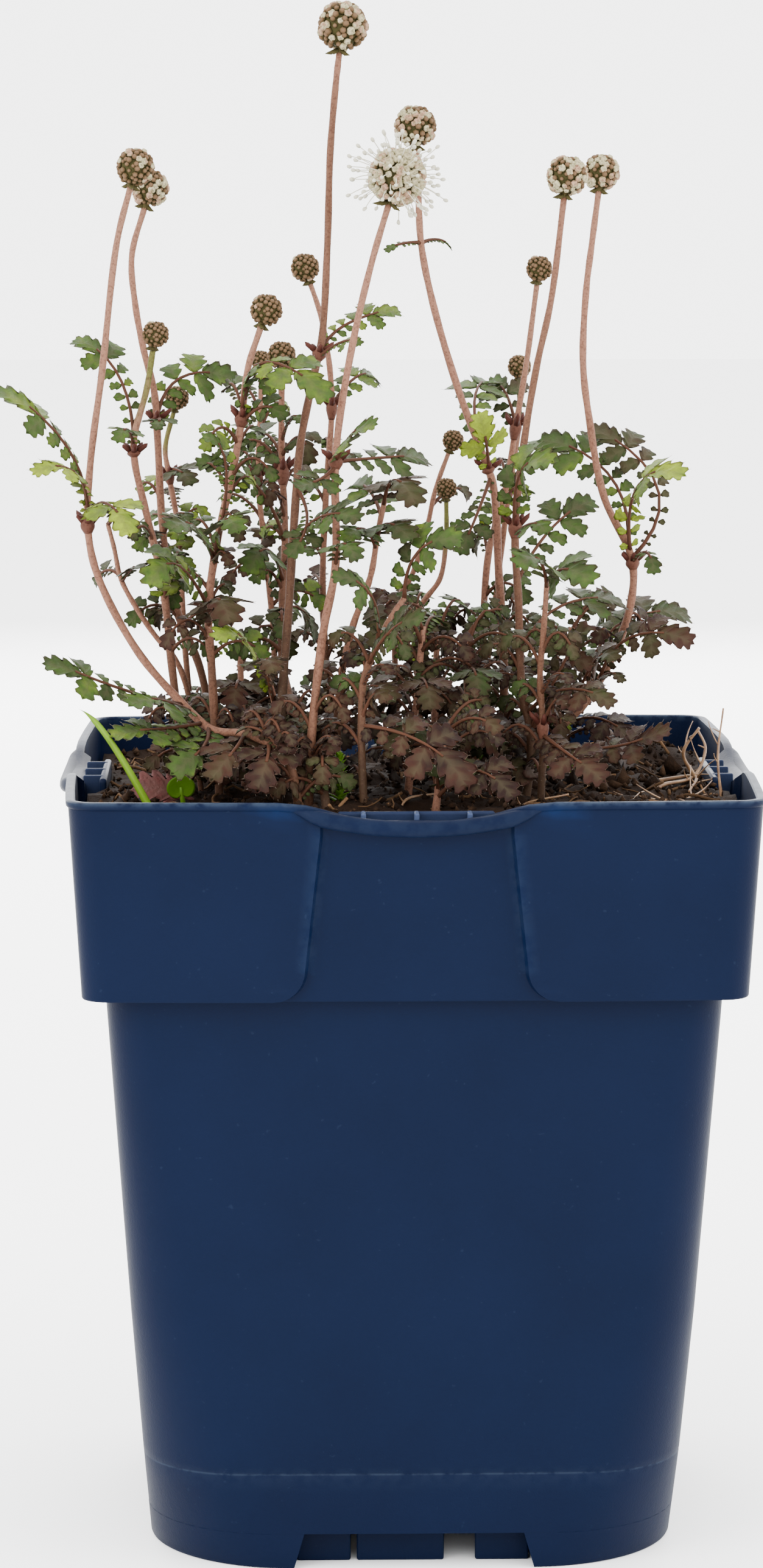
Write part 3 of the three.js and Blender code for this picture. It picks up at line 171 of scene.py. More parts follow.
# %% A material that makes its own nodes
class Finish:
    """A material and its nodes. Colours are written as for plain light and darkened once here."""

    darken = 0.42

    def __init__(self, name, roughness, **constant):
        self.material = bpy.data.materials.new(name)
        self.material.use_nodes = True
        self.tree = self.material.node_tree
        self.shader = self.tree.nodes["Principled BSDF"]
        self.shader.inputs["Roughness"].default_value = roughness
        for socket, value in constant.items():
            self.shader.inputs[socket.replace("_", " ")].default_value = value
        self.place = Value(self, self.node("TexCoord", {}, {}).outputs["Object"])

    def node(self, kind, settings, sockets):
        """Adds a node, sets its settings first and then its sockets, by name or number."""
        made = self.tree.nodes.new("ShaderNode" + kind)
        for key, value in settings.items():
            if key == "stops":
                for i, (at, colour) in enumerate(value):
                    while len(made.color_ramp.elements) <= i:
                        made.color_ramp.elements.new(1.0)
                    made.color_ramp.elements[i].position = at
                    made.color_ramp.elements[i].color = self.paint(colour)
            else:
                setattr(made, key, value)
        for key, value in sockets.items():
            if isinstance(value, Value):
                self.tree.links.new(value.socket, made.inputs[key])
            elif value is not None:
                made.inputs[key].default_value = value
        return made

    def paint(self, colour):
        """A colour dark enough for a studio bright enough to make the paper white."""
        return (*(self.darken * c for c in colour), 1)

    def mark(self, name):
        """A number stored at each point of the mesh."""
        return Value(self, self.node("Attribute", {"attribute_name": name}, {}).outputs["Fac"])

    def noise(self, per_mm, detail=3.0, roughness=0.6, stretch=(1, 1, 1)):
        """Cloudy noise with so many features a millimetre, from 0 to 1."""
        in_mm = tuple(1000 * s for s in stretch)
        where = self.node("Mapping", {}, {"Vector": self.place, "Scale": in_mm})
        sockets = {"Vector": Value(self, where.outputs[0]), "Scale": per_mm, "Detail": detail}
        made = self.node("TexNoise", {}, {**sockets, "Roughness": roughness})
        return Value(self, made.outputs["Fac"])

    def ramp(self, value, *stops):
        """A colour picked by a number from stops of (place, colour)."""
        return Value(self, self.node("ValToRGB", {"stops": stops}, {0: value}).outputs[0])

    def blend(self, share, low, high):
        """A colour between two colours: a Mix node's sockets 6 and 7, with the result at output 2."""
        pick = lambda c: c if isinstance(c, Value) else self.paint(c)
        made = self.node("Mix", {"data_type": "RGBA"}, {0: share, 6: pick(low), 7: pick(high)})
        return Value(self, made.outputs[2])

    def wear(self, colour=None, roughness=None, height=None, depth_mm=0.1):
        """Joins colour, roughness and height to the shader and returns the material."""
        if colour is not None:
            self.tree.links.new(colour.socket, self.shader.inputs["Base Color"])
        if roughness is not None:
            self.tree.links.new(roughness.socket, self.shader.inputs["Roughness"])
        if height is not None:
            bump = self.node("Bump", {}, {"Height": height, "Distance": depth_mm * MM, "Strength": 1.0})
            self.tree.links.new(bump.outputs[0], self.shader.inputs["Normal"])
        return self.material


print("every colour is darkened to", Finish.darken, "of what is written")

# %% [markdown]
# ## The camera stands where the photographer stood
# The view was found by fitting the pot's rim, taper and foot: a long lens, ten centimetres above the rim,
# looking eight degrees down. It is made first, so that every later choice can be seen from it.

# %% Camera
PHOTO_HEIGHT = 2576
FOCAL_PIXELS = 7693.0
CAMERA_AT = np.array([-22.2547, -782.0054, 232.6])
PITCH, YAW = 0.1390, 0.0229
FRAME_MM = 36.0

look = np.array([math.sin(YAW) * math.cos(PITCH), math.cos(YAW) * math.cos(PITCH), -math.sin(PITCH)])
right = np.array([math.cos(YAW), -math.sin(YAW), 0.0])
over = np.cross(right, look)
lens = bpy.data.cameras.new("photo_camera")
lens.sensor_width = FRAME_MM
lens.lens = FRAME_MM * FOCAL_PIXELS / PHOTO_HEIGHT
camera = bpy.data.objects.new("photo_camera", lens)
bpy.context.scene.collection.objects.link(camera)
turn = np.eye(4)
turn[:3, 0], turn[:3, 1], turn[:3, 2], turn[:3, 3] = right, over, -look, CAMERA_AT * MM
camera.matrix_world = Matrix(turn.tolist())
bpy.context.scene.camera = camera
print("lens", round(lens.lens, 1), "mm on a frame of", FRAME_MM, "mm")

# %% [markdown]
# ## The pot as one profile carried round a square
# The real pot is one moulding: a wall that goes up inside, over the rim, down the collar, back under it, and
# down the tapering body. That is a profile carried round a square with round corners. Each side of the square
# is measured by a share from -1 to 1, and the share 0.5 always falls on the edge of the set-back panel, so
# the step between flap and panel stays sharp however it curves. A level is a height, the half width there,
# the radius of the corners, and how far the sides bow out.

# %% Sizes of the pot
BODY_LEVELS = np.array([
    [0, 43.4, 24, 0], [16.2, 44.4, 16.5, 0.3], [42, 46.1, 11, 0.5], [92, 49.3, 7, 0.8], [120.7, 50.9, 5.5, 1],
])
COLLAR_LEVELS = np.array([[95.8, 53.1, 4.5, 1.2], [128, 55, 4.6, 1.3]])
COLLAR_BOTTOM, RIM_TOP, FLOOR_UNDER, FLOOR_TOP = 95.8, 128.0, 6.0, 7.4
PANEL_RECESS, RIM_WALL, PANEL_WALL, BODY_WALL = 1.2, 1.2, 1.1, 1.2
PANEL_STEP = 0.45
PANEL_HALF, PANEL_SLANT, SLANT_TOP, SLANT_FALL = 14.8, 2.4, 122.8, 21.8
PANEL_TURN, PANEL_CORNER = 101.0, 5.2
SCOOP_DEPTH, SCOOP_FLAT, SCOOP_RISE, SCOOP_FADE = 2.8, 6, 15, 8
SEAM_HEIGHT = 16.2
EDGE_SHARE, STEP_SHARE = 0.5, 0.53
HALF_SHARES = np.array([0, 0.08, 0.16, 0.24, 0.32, 0.4, 0.46, 0.5, 0.53, 0.56, 0.62, 0.7, 0.78, 0.86, 0.94])
SIDE_SHARES = np.concatenate([-HALF_SHARES[:0:-1], HALF_SHARES])
CORNER_POINTS, PAST_SCOOP = 13, 40.0
print("the pot is", 2 * COLLAR_LEVELS[1, 1], "mm wide and", RIM_TOP, "mm high")


# %% One level of the square
def smooth(x):
    """0 below 0, 1 above 1, and 3x^2 - 2x^3 between."""
    x = np.clip(x, 0, 1)
    return x * x * (3 - 2 * x)


def bell(x, middle, width):
    """1 at the middle and e to the minus square of the distance in widths elsewhere."""
    return np.exp(-(((x - middle) / width) ** 2))


def level(levels, z):
    """Half width, corner radius and bow of the sides at height z, straight between the given levels."""
    return [np.interp(z, levels[:, 0], levels[:, k]) for k in (1, 2, 3)]


def panel_edge(z):
    """Half width of the set-back panel: slanted lines that turn outwards in a round corner at the bottom."""
    low = min(max(PANEL_TURN - z, 0), PANEL_CORNER)
    slanted = PANEL_HALF + PANEL_SLANT * np.clip((SLANT_TOP - z) / SLANT_FALL, 0, 1)
    return slanted + PANEL_CORNER - math.sqrt(PANEL_CORNER**2 - low**2)


def square_ring(half, corner, bow, edge, inset=0.0, panel_inset=0.0):
    """x and y, side x and panel share round one level: four bowed sides and four quarter circles."""
    straight = half - corner
    share = np.abs(SIDE_SHARES)
    x = np.interp(share, [0, EDGE_SHARE, STEP_SHARE, 1], [0, edge, edge + PANEL_STEP, straight])
    x = x * np.sign(SIDE_SHARES)
    panel = np.interp(share, [EDGE_SHARE, STEP_SHARE], [1, 0])
    flat = np.stack([x, -half - bow * (1 - (x / straight) ** 2) + inset + panel_inset * panel], -1)
    angle = np.linspace(-math.pi / 2, 0, CORNER_POINTS)
    reach = corner - inset
    bend = np.stack([straight + reach * np.cos(angle), -straight + reach * np.sin(angle)], -1)
    one = np.concatenate([flat, bend])
    side_x = np.concatenate([x, np.full(CORNER_POINTS, PAST_SCOOP)])
    panel = np.concatenate([panel, np.zeros(CORNER_POINTS)])
    turns = np.arange(4) * math.pi / 2
    px = one[:, 0] * np.cos(turns)[:, None] - one[:, 1] * np.sin(turns)[:, None]
    py = one[:, 0] * np.sin(turns)[:, None] + one[:, 1] * np.cos(turns)[:, None]
    return np.stack([px.ravel(), py.ravel()], -1), np.tile(side_x, 4), np.tile(panel, 4)


def closed(rows, **marks):
    """A skin over rows of points that close round and end in poles, turned to face outwards."""
    rows = np.asarray(rows, float)
    quads = grid_quads(rows.shape[0], rows.shape[1], closed=True)
    made = patch(rows, quads, **marks)
    a, b, c = (made[0][made[1][:, k]] for k in range(3))
    if np.einsum("ij,ij->i", a, np.cross(b, c)).sum() < 0:
        made = (made[0], made[1][:, ::-1], made[2])
    return made


print("points round one level:", len(square_ring(50, 5, 1, 17)[0]))


# %% The moulding's rows, from the middle of the floor up, over the rim and down to the foot
def collar_row(drop, inset, panel_inset):
    """A row near the rim that keeps its drop below the rim's top edge, which dips in each scoop."""
    half, corner, bow = level(COLLAR_LEVELS, RIM_TOP - drop)
    xy, side_x, _ = square_ring(half, corner, bow, panel_edge(RIM_TOP - drop), inset, panel_inset)
    rise = smooth((np.abs(side_x) - SCOOP_FLAT) / SCOOP_RISE)
    dip = SCOOP_DEPTH * (1 - rise) * max(1 - drop / SCOOP_FADE, 0)
    return np.column_stack([xy, RIM_TOP - drop - dip])


def plain_row(levels, z, inset, panel_inset=0.0, at=None):
    """A level row of the body or the collar at height z, or with its outline of z at another height."""
    half, corner, bow = level(levels, z)
    edge = panel_edge(z) if levels is COLLAR_LEVELS else (half - corner) / 2
    xy = square_ring(half, corner, bow, edge, inset, panel_inset)[0]
    return np.column_stack([xy, np.full(len(xy), z if at is None else at)])


def pot_rows():
    """All rows of the moulding. In a pair, the first is the drop below the rim, the second the inset."""
    rows = [plain_row(BODY_LEVELS, FLOOR_TOP, BODY_WALL) * [0, 0, 1]]
    up = (FLOOR_TOP, 12, 20, 36, 60, 92, 112, 118)
    rows += [plain_row(BODY_LEVELS, z, BODY_WALL) for z in up]
    rows += [plain_row(COLLAR_LEVELS, 118.4, RIM_WALL, PANEL_WALL)]
    inside = [(8, RIM_WALL), (4, RIM_WALL), (1.2, RIM_WALL), (0.25, RIM_WALL), (0.04, RIM_WALL - 0.22)]
    rows += [collar_row(drop, inset, PANEL_WALL * (drop > 1)) for drop, inset in inside]
    bead = [(0, 0.3), (0.06, 0.0), (0.25, -0.28), (0.6, -0.36), (1.0, -0.3), (1.22, -0.08), (1.3, 0.05)]
    rows += [collar_row(drop, inset, 0.0) for drop, inset in bead]
    rows += [collar_row(drop, 0.0, PANEL_RECESS) for drop in (1.6, 3, 5, 8)]
    down = (116, 111, 106, 102.5, 101, 100, 99, 98.2, 97.5, 97, 96.6, 96.35, 96.15, 96.0)
    rows += [plain_row(COLLAR_LEVELS, z, 0.0, PANEL_RECESS) for z in down]
    under = ((0.12, PANEL_RECESS), (0.35, PANEL_RECESS), (1.9, 0.4))
    rows += [plain_row(COLLAR_LEVELS, COLLAR_BOTTOM, inset, depth) for inset, depth in under]
    rows += [plain_row(COLLAR_LEVELS, COLLAR_BOTTOM, 2.3, at=99.0), plain_row(BODY_LEVELS, 99.0, 0.0)]
    body = (96, 92, 84, 76, 67, 58, 50, 42, 36, 30, 25, 20.5, 17.6, 16.45)
    rows += [plain_row(BODY_LEVELS, z, 0.0) for z in body]
    rows += [plain_row(BODY_LEVELS, SEAM_HEIGHT, 0.1), plain_row(BODY_LEVELS, 15.95, 0.02)]
    rows += [plain_row(BODY_LEVELS, z, 0.0) for z in (13, 10.5, 8, 6.6, FLOOR_UNDER)]
    rows += [plain_row(BODY_LEVELS, FLOOR_UNDER, 1.5), plain_row(BODY_LEVELS, FLOOR_UNDER, 1.5) * [0, 0, 1]]
    return np.array(rows)


print("pot:", pot_rows().shape[0], "rows of", pot_rows().shape[1], "points")

# %% [markdown]
# ## Tubes, plates and the pot's small features
# The rolled lip under each scoop is a tube that sags in the middle and thins into the rim at its ends. The
# tongue behind it and its ribs are plates with rounded edges. Stems, leaf stalks, straw and roots are tubes
# too, so one function makes them all: a ring square to the path, as wide as asked at each point.

# %% A tube along a path, and a rounded plate
PLATE_RING, PLATE_ROWS, ROUND_POWER = 40, 16, 8


def tube(path, size, sides=8, facing=(0.0, -1.0, 0.0), squash=1.0, **marks):
    """Path plus size times (cos, squash sin) of an angle, square to the path; both ends close."""
    path, size = np.asarray(path, float), np.broadcast_to(np.asarray(size, float), len(path))
    along = unit(np.gradient(path, axis=0))
    across = unit(np.cross(along, np.asarray(facing, float)))
    out = np.cross(across, along)
    angle = 2 * math.pi * np.arange(sides) / sides
    cos, sin = np.cos(angle)[None, :, None], np.sin(angle)[None, :, None]
    wheel = cos * across[:, None] + squash * sin * out[:, None]
    rings = path[:, None] + size[:, None, None] * wheel
    poles = [np.repeat(path[i][None, None], sides, 1) for i in (0, -1)]
    on_rings = lambda v: np.repeat(np.concatenate([v[:1], v, v[-1:]]), sides)
    grown = {key: on_rings(v) if np.ndim(v) else v for key, v in marks.items()}
    return closed(np.concatenate([poles[0], rings, poles[1]]), **grown)


def plate(x0, x1, y0, y1, z0, z1, rounding, top_round=0.0):
    """A box with rounded edges: square rings whose size grows and shrinks over the rounding. The top's two
    ends can be lowered by top_round."""
    angle = np.linspace(0, 2 * math.pi, PLATE_RING, endpoint=False)
    cos, sin = np.cos(angle), np.sin(angle)
    middle = np.array([(x0 + x1) / 2, (y0 + y1) / 2, (z0 + z1) / 2])
    half = np.array([x1 - x0, y1 - y0, z1 - z0]) / 2
    rows = []
    for t in np.linspace(-math.pi / 2, math.pi / 2, PLATE_ROWS):
        grow = math.cos(t)
        body = half - rounding
        corner = rounding * grow
        x = np.sign(cos) * body[0] + corner * cos
        z = np.sign(sin) * body[2] + corner * sin
        z = z - top_round * (sin > 0) * (np.abs(x) / half[0]) ** ROUND_POWER
        y = math.copysign(body[1], t) + rounding * math.sin(t)
        rows.append(np.stack([x, np.full_like(x, y), z], -1))
    rows = [rows[0] * [0, 1, 0], *rows, rows[-1] * [0, 1, 0]]
    return closed(np.array(rows) + middle)


def turned(made, quarter):
    """A patch turned a number of quarter circles about the pot's axis."""
    cos, sin = [(1, 0), (0, 1), (-1, 0), (0, -1)][quarter]
    spin = np.array([[cos, sin, 0], [-sin, cos, 0], [0, 0, 1]])
    return made[0] @ spin, made[1], made[2]


print("a plate has", len(plate(0, 2, 0, 2, 0, 2, 0.5)[1]), "triangles")

# %% The rolled lip and the corners of the foot
LIP_PATH = np.array([
    [20.5, 55.6, 127.2], [17, 56.2, 126.1], [14, 56.5, 125.2], [7, 57.0, 124.2], [0, 57.2, 123.9],
])
LIP_RADIUS, LIP_THIN, LIP_TAPER = 1.3, 0.25, 6
LIP_POINTS, LIP_PASSES = 61, 6
FOOT_STEPS = ((6, 0), (3, 0), (0.5, 0), (0.12, 0.12), (0, 0.4), (0, 1.2), (0.3, 1.5), (6, 1.5))
NOTCH_HALF, NOTCH_SLANT, FOOT_POINTS = 19.6, 1.7, 31


def lip():
    """An oval tube through the lip's points, mirrored, evened out by passes, thinning at both ends."""
    half = LIP_PATH * [1, -1, 1]
    points = np.concatenate([half * [-1, 1, 1], half[-2::-1]])
    t = np.linspace(0, len(points) - 1, LIP_POINTS)
    path = np.column_stack([np.interp(t, np.arange(len(points)), points[:, k]) for k in range(3)])
    for _ in range(LIP_PASSES):
        path[1:-1] = (path[:-2] + 2 * path[1:-1] + path[2:]) / 4
    thin = LIP_THIN + (1 - LIP_THIN) * smooth((LIP_PATH[0, 0] - np.abs(path[:, 0])) / LIP_TAPER)
    return tube(path, LIP_RADIUS * thin, 16, facing=(0, -1, 0.25), squash=0.95)


def foot_corner():
    """The body's outline below the floor from one notch to the next, at steps of height and inset."""
    rows = []
    for z, inset in FOOT_STEPS:
        half, corner, _ = level(BODY_LEVELS, z)
        straight = half - corner
        notch = NOTCH_HALF - NOTCH_SLANT * z / FLOOR_UNDER
        angle = np.linspace(-math.pi / 2, 0, FOOT_POINTS)
        reach = corner - inset
        arc = np.stack([straight + reach * np.cos(angle), -straight + reach * np.sin(angle)], -1)
        arc[0], arc[-1] = [notch, -half + inset], [half - inset, -notch]
        rows.append(np.column_stack([arc, np.full(FOOT_POINTS, z)]))
    strip = np.array(rows).transpose(1, 0, 2)
    ends = [np.repeat(strip[i].mean(0)[None, None], strip.shape[1], 1) for i in (0, -1)]
    return closed(np.concatenate([ends[0], strip, ends[1]]))


print("lip:", len(lip()[0]), "points, foot corner:", len(foot_corner()[0]), "points")


# %% Navy plastic: fine grain, cloudy sheen, pale scuffs on edges, painted highlights on tongues, ribs and panel edges
def navy_plastic():
    """Clouded navy, grain, flecks, stressed blue at scoops, painted highlights on tongues, ribs and panel
    edges, rim wear.
    """
    finish = Finish("navy_plastic", 0.45, Specular_IOR_Level=0.04)
    cloud = finish.noise(0.035, 4)
    grain = finish.noise(3.2, 2, 0.7)
    fleck = finish.noise(1.1, 1).above(0.76, 0.02)
    base = finish.ramp(
        cloud * 0.7 + grain * 0.3, (0.25, (0.0022, 0.0066, 0.027)), (0.75, (0.0036, 0.0100, 0.038))
    )
    colour = finish.blend(fleck * 0.16, base, (0.03, 0.05, 0.10))
    stress = finish.mark("stress")
    # Bluer where the plastic was stressed at the scoop ends, plus a painted highlight along the panel edges.
    colour = finish.blend(stress * (finish.noise(0.5, 3) * 0.7 + 0.1), colour, (0.004, 0.030, 0.12))
    # Painted highlight: paler blue on the tongues and their ribs, weaker on the left and right sides.
    gleam = finish.mark("gleam") * finish.noise(0.5, 2).above(0.3, 0.2)
    colour = finish.blend(gleam, colour, (0.06, 0.085, 0.17))
    # Pale scuffs at the rim and seam, plus a painted highlight along the panel edges.
    scuff_and_highlight = finish.mark("rim") * finish.noise(0.45, 4).above(0.47, 0.12)
    colour = finish.blend(scuff_and_highlight * 0.6, colour, (0.05, 0.075, 0.12))
    rough = 0.36 + cloud * 0.14 + grain * 0.1
    return finish.wear(colour, rough, grain * 0.7 + finish.noise(0.6, 3) * 0.5, 0.05)


print("navy plastic: fine grain, flecks, stress marks and scuffs")

# %% The whole pot
# The painted highlight on tongues and ribs, and its weaker share on the left and right sides.
LIP_WEAR, HIGHLIGHT_AT_SIDES = 0.12, 0.35
PAINTED_HIGHLIGHTS = {"tongue": 0.25, "rib": 1}
RIBS = (-8.4, 0, 8.4)
FOOT_BLOCKS = ((-19.1, -10.3), (-9.3, 5.0), (10.1, 18.9))
PAD_PROFILE = ((0, 0), (7.7, 0), (8, 0.3), (8, 6.4), (0, 6.4))


def shell_patch():
    """The moulding with bells of wear at rim and seam, of stressed plastic at scoops, of painted highlight at
    panel edges.
    """
    rows = pot_rows()
    x, y, z = rows.reshape(-1, 3).T
    side = np.minimum(np.abs(x), np.abs(y))
    edge_of_panel = np.interp(z, [95, 101, 122.8], [22.4, 17.2, 14.8])
    seam, near_rim = bell(z, SEAM_HEIGHT, 0.18), bell(z, RIM_TOP, 0.5)
    at_scoop = bell(side - 20, (RIM_TOP - z) * 1.3, 1.6) * smooth((z - 122) / 5)
    # A painted highlight along the panel edges, fed into both the stressed-blue and the pale wear marks.
    rib = bell(side - edge_of_panel, 0.2, 0.35) * (z > 97) * (z < 123)
    wear_and_highlight = np.clip(near_rim + seam * 0.7 + rib * 0.25, 0, 1)
    return closed(rows, rim=wear_and_highlight, stress=at_scoop * 0.8 + rib * 0.3)


def pot_patches():
    """The moulding, four times the lip, foot corner, tongue, ribs and foot blocks, and the middle pad."""
    made = [shell_patch()]
    tongue = plate(-12.6, 12.6, -51.4, -50.2, 119.6, 126.8, 0.5, 1.2)
    ribs = [plate(x - 0.4, x + 0.4, -54.2, -50.6, 119.8, 126.0, 0.3) for x in RIBS]
    blocks = [plate(x0, x1, -39.0, -37.6, 0.0, 6.4, 0.4) for x0, x1 in FOOT_BLOCKS]
    extras = [("lip", lip()), ("foot", foot_corner()), ("tongue", tongue)]
    extras += [("rib", rib) for rib in ribs] + [("block", block) for block in blocks]
    for quarter in range(4):
        # The painted highlight is weaker on the left and right sides than on the front and back.
        highlight_share = HIGHLIGHT_AT_SIDES if quarter % 2 else 1
        for kind, (points, faces, _) in extras:
            marks = dict(rim=LIP_WEAR * (kind == "lip"), stress=0, gleam=PAINTED_HIGHLIGHTS.get(kind, 0) * highlight_share)
            made.append(turned(patch(points, faces, **marks), quarter))
    around = np.linspace(0, 2 * math.pi, 32, endpoint=False)
    wheel = np.column_stack([np.cos(around), np.sin(around), np.zeros(32)])
    made.append(closed([wheel * r + [0, 0, z] for r, z in PAD_PROFILE]))
    return made


pot = piece("dressed_pot", pot_patches(), navy_plastic(), ["pot"], sharp_degrees=38)
print("pot triangles:", len(pot.data.polygons))

# %% [markdown]
# ## Curves that stems and leaf stalks follow
# Each shoot of the part is a list of points from its root to its flower head. A smooth curve goes through
# them, with knots spaced by the square root of the distance, which doesn't overshoot where points are close.
# The plain stems were made on the same curve, so the finer ones stand exactly in their places.

# %% A spline through route points, and a bent stalk by length
ARC_POINTS = 81


def on_route(points, places):
    """Cubic pieces between points, with slopes at each point from its two neighbours and the knot spacing."""
    points, places = np.asarray(points, float), np.atleast_1d(np.asarray(places, float))
    whole = np.vstack([2 * points[0] - points[1], points, 2 * points[-1] - points[-2]])
    i = np.clip(np.floor(places).astype(int), 0, len(points) - 2)
    t = (places - i)[:, None]
    p0, p1, p2, p3 = (whole[i + k] for k in range(4))
    knot = lambda a, b: np.linalg.norm(b - a, axis=1, keepdims=True) ** 0.5
    d0, d1, d2 = knot(p0, p1), knot(p1, p2), knot(p2, p3)
    s1 = ((p1 - p0) / d0 - (p2 - p0) / (d0 + d1) + (p2 - p1) / d1) * d1
    s2 = ((p2 - p1) / d1 - (p3 - p1) / (d1 + d2) + (p3 - p2) / d2) * d1
    return p1 + s1 * t + (3 * (p2 - p1) - 2 * s1 - s2) * t**2 + (2 * (p1 - p2) + s1 + s2) * t**3


class Arc:
    """A parabola through base, near middle, and tip, measured by its length."""

    def __init__(self, base, middle, tip):
        base, middle, tip = (np.asarray(p, float) for p in (base, middle, tip))
        u = np.linspace(0, 1, ARC_POINTS)[:, None]
        control = 2 * middle - (base + tip) / 2
        self.points = (1 - u) ** 2 * base + 2 * u * (1 - u) * control + u**2 * tip
        steps = np.linalg.norm(np.diff(self.points, axis=0), axis=1)
        self.far = np.concatenate([[0], np.cumsum(steps)])
        self.length = self.far[-1]
        self.slopes = unit(np.gradient(self.points, axis=0))

    def at(self, s):
        """Points and directions at the given lengths from the base."""
        s = np.clip(s, 0, self.length)
        read = lambda table: np.stack([np.interp(s, self.far, table[:, k]) for k in range(3)], -1)
        return read(self.points), unit(read(self.slopes))


def scatter(i, k):
    """A fixed number from -1 to 1 for each pair of counts: the fraction of a large sine."""
    raw = math.sin(i * 12.9898 + k * 78.233) * 43758.5453
    return 2 * (raw - math.floor(raw)) - 1


print("a straight arc of 10 mm measures", round(float(Arc([0, 0, 0], [5, 0, 0], [10, 0, 0]).length), 2))

# %% The height of the soil
SOIL_FRONT_HEIGHT, SOIL_FALL, SOIL_LUMP = 125.2, 0.036, 0.55
MOUND_X, MOUND_Y, MOUND_SPREAD, MOUND_HEIGHT = 40, 33, 144, 2.2
LEDGE = 121.0


def soil_height(x, y):
    """The plain soil's height: a slope to the back, two crossing waves, and a mound at the back right."""
    away = ((x - MOUND_X) ** 2 + (y - MOUND_Y) ** 2) / MOUND_SPREAD
    lumps = np.sin(x * 0.41 + 1.3) * np.cos(y * 0.37) + np.sin(x * 0.23 - y * 0.51)
    return SOIL_FRONT_HEIGHT - SOIL_FALL * (y + 50) + SOIL_LUMP * lumps + MOUND_HEIGHT * np.exp(-away)


print("soil in the middle of the pot:", round(float(soil_height(0.0, 0.0)), 1), "mm high")

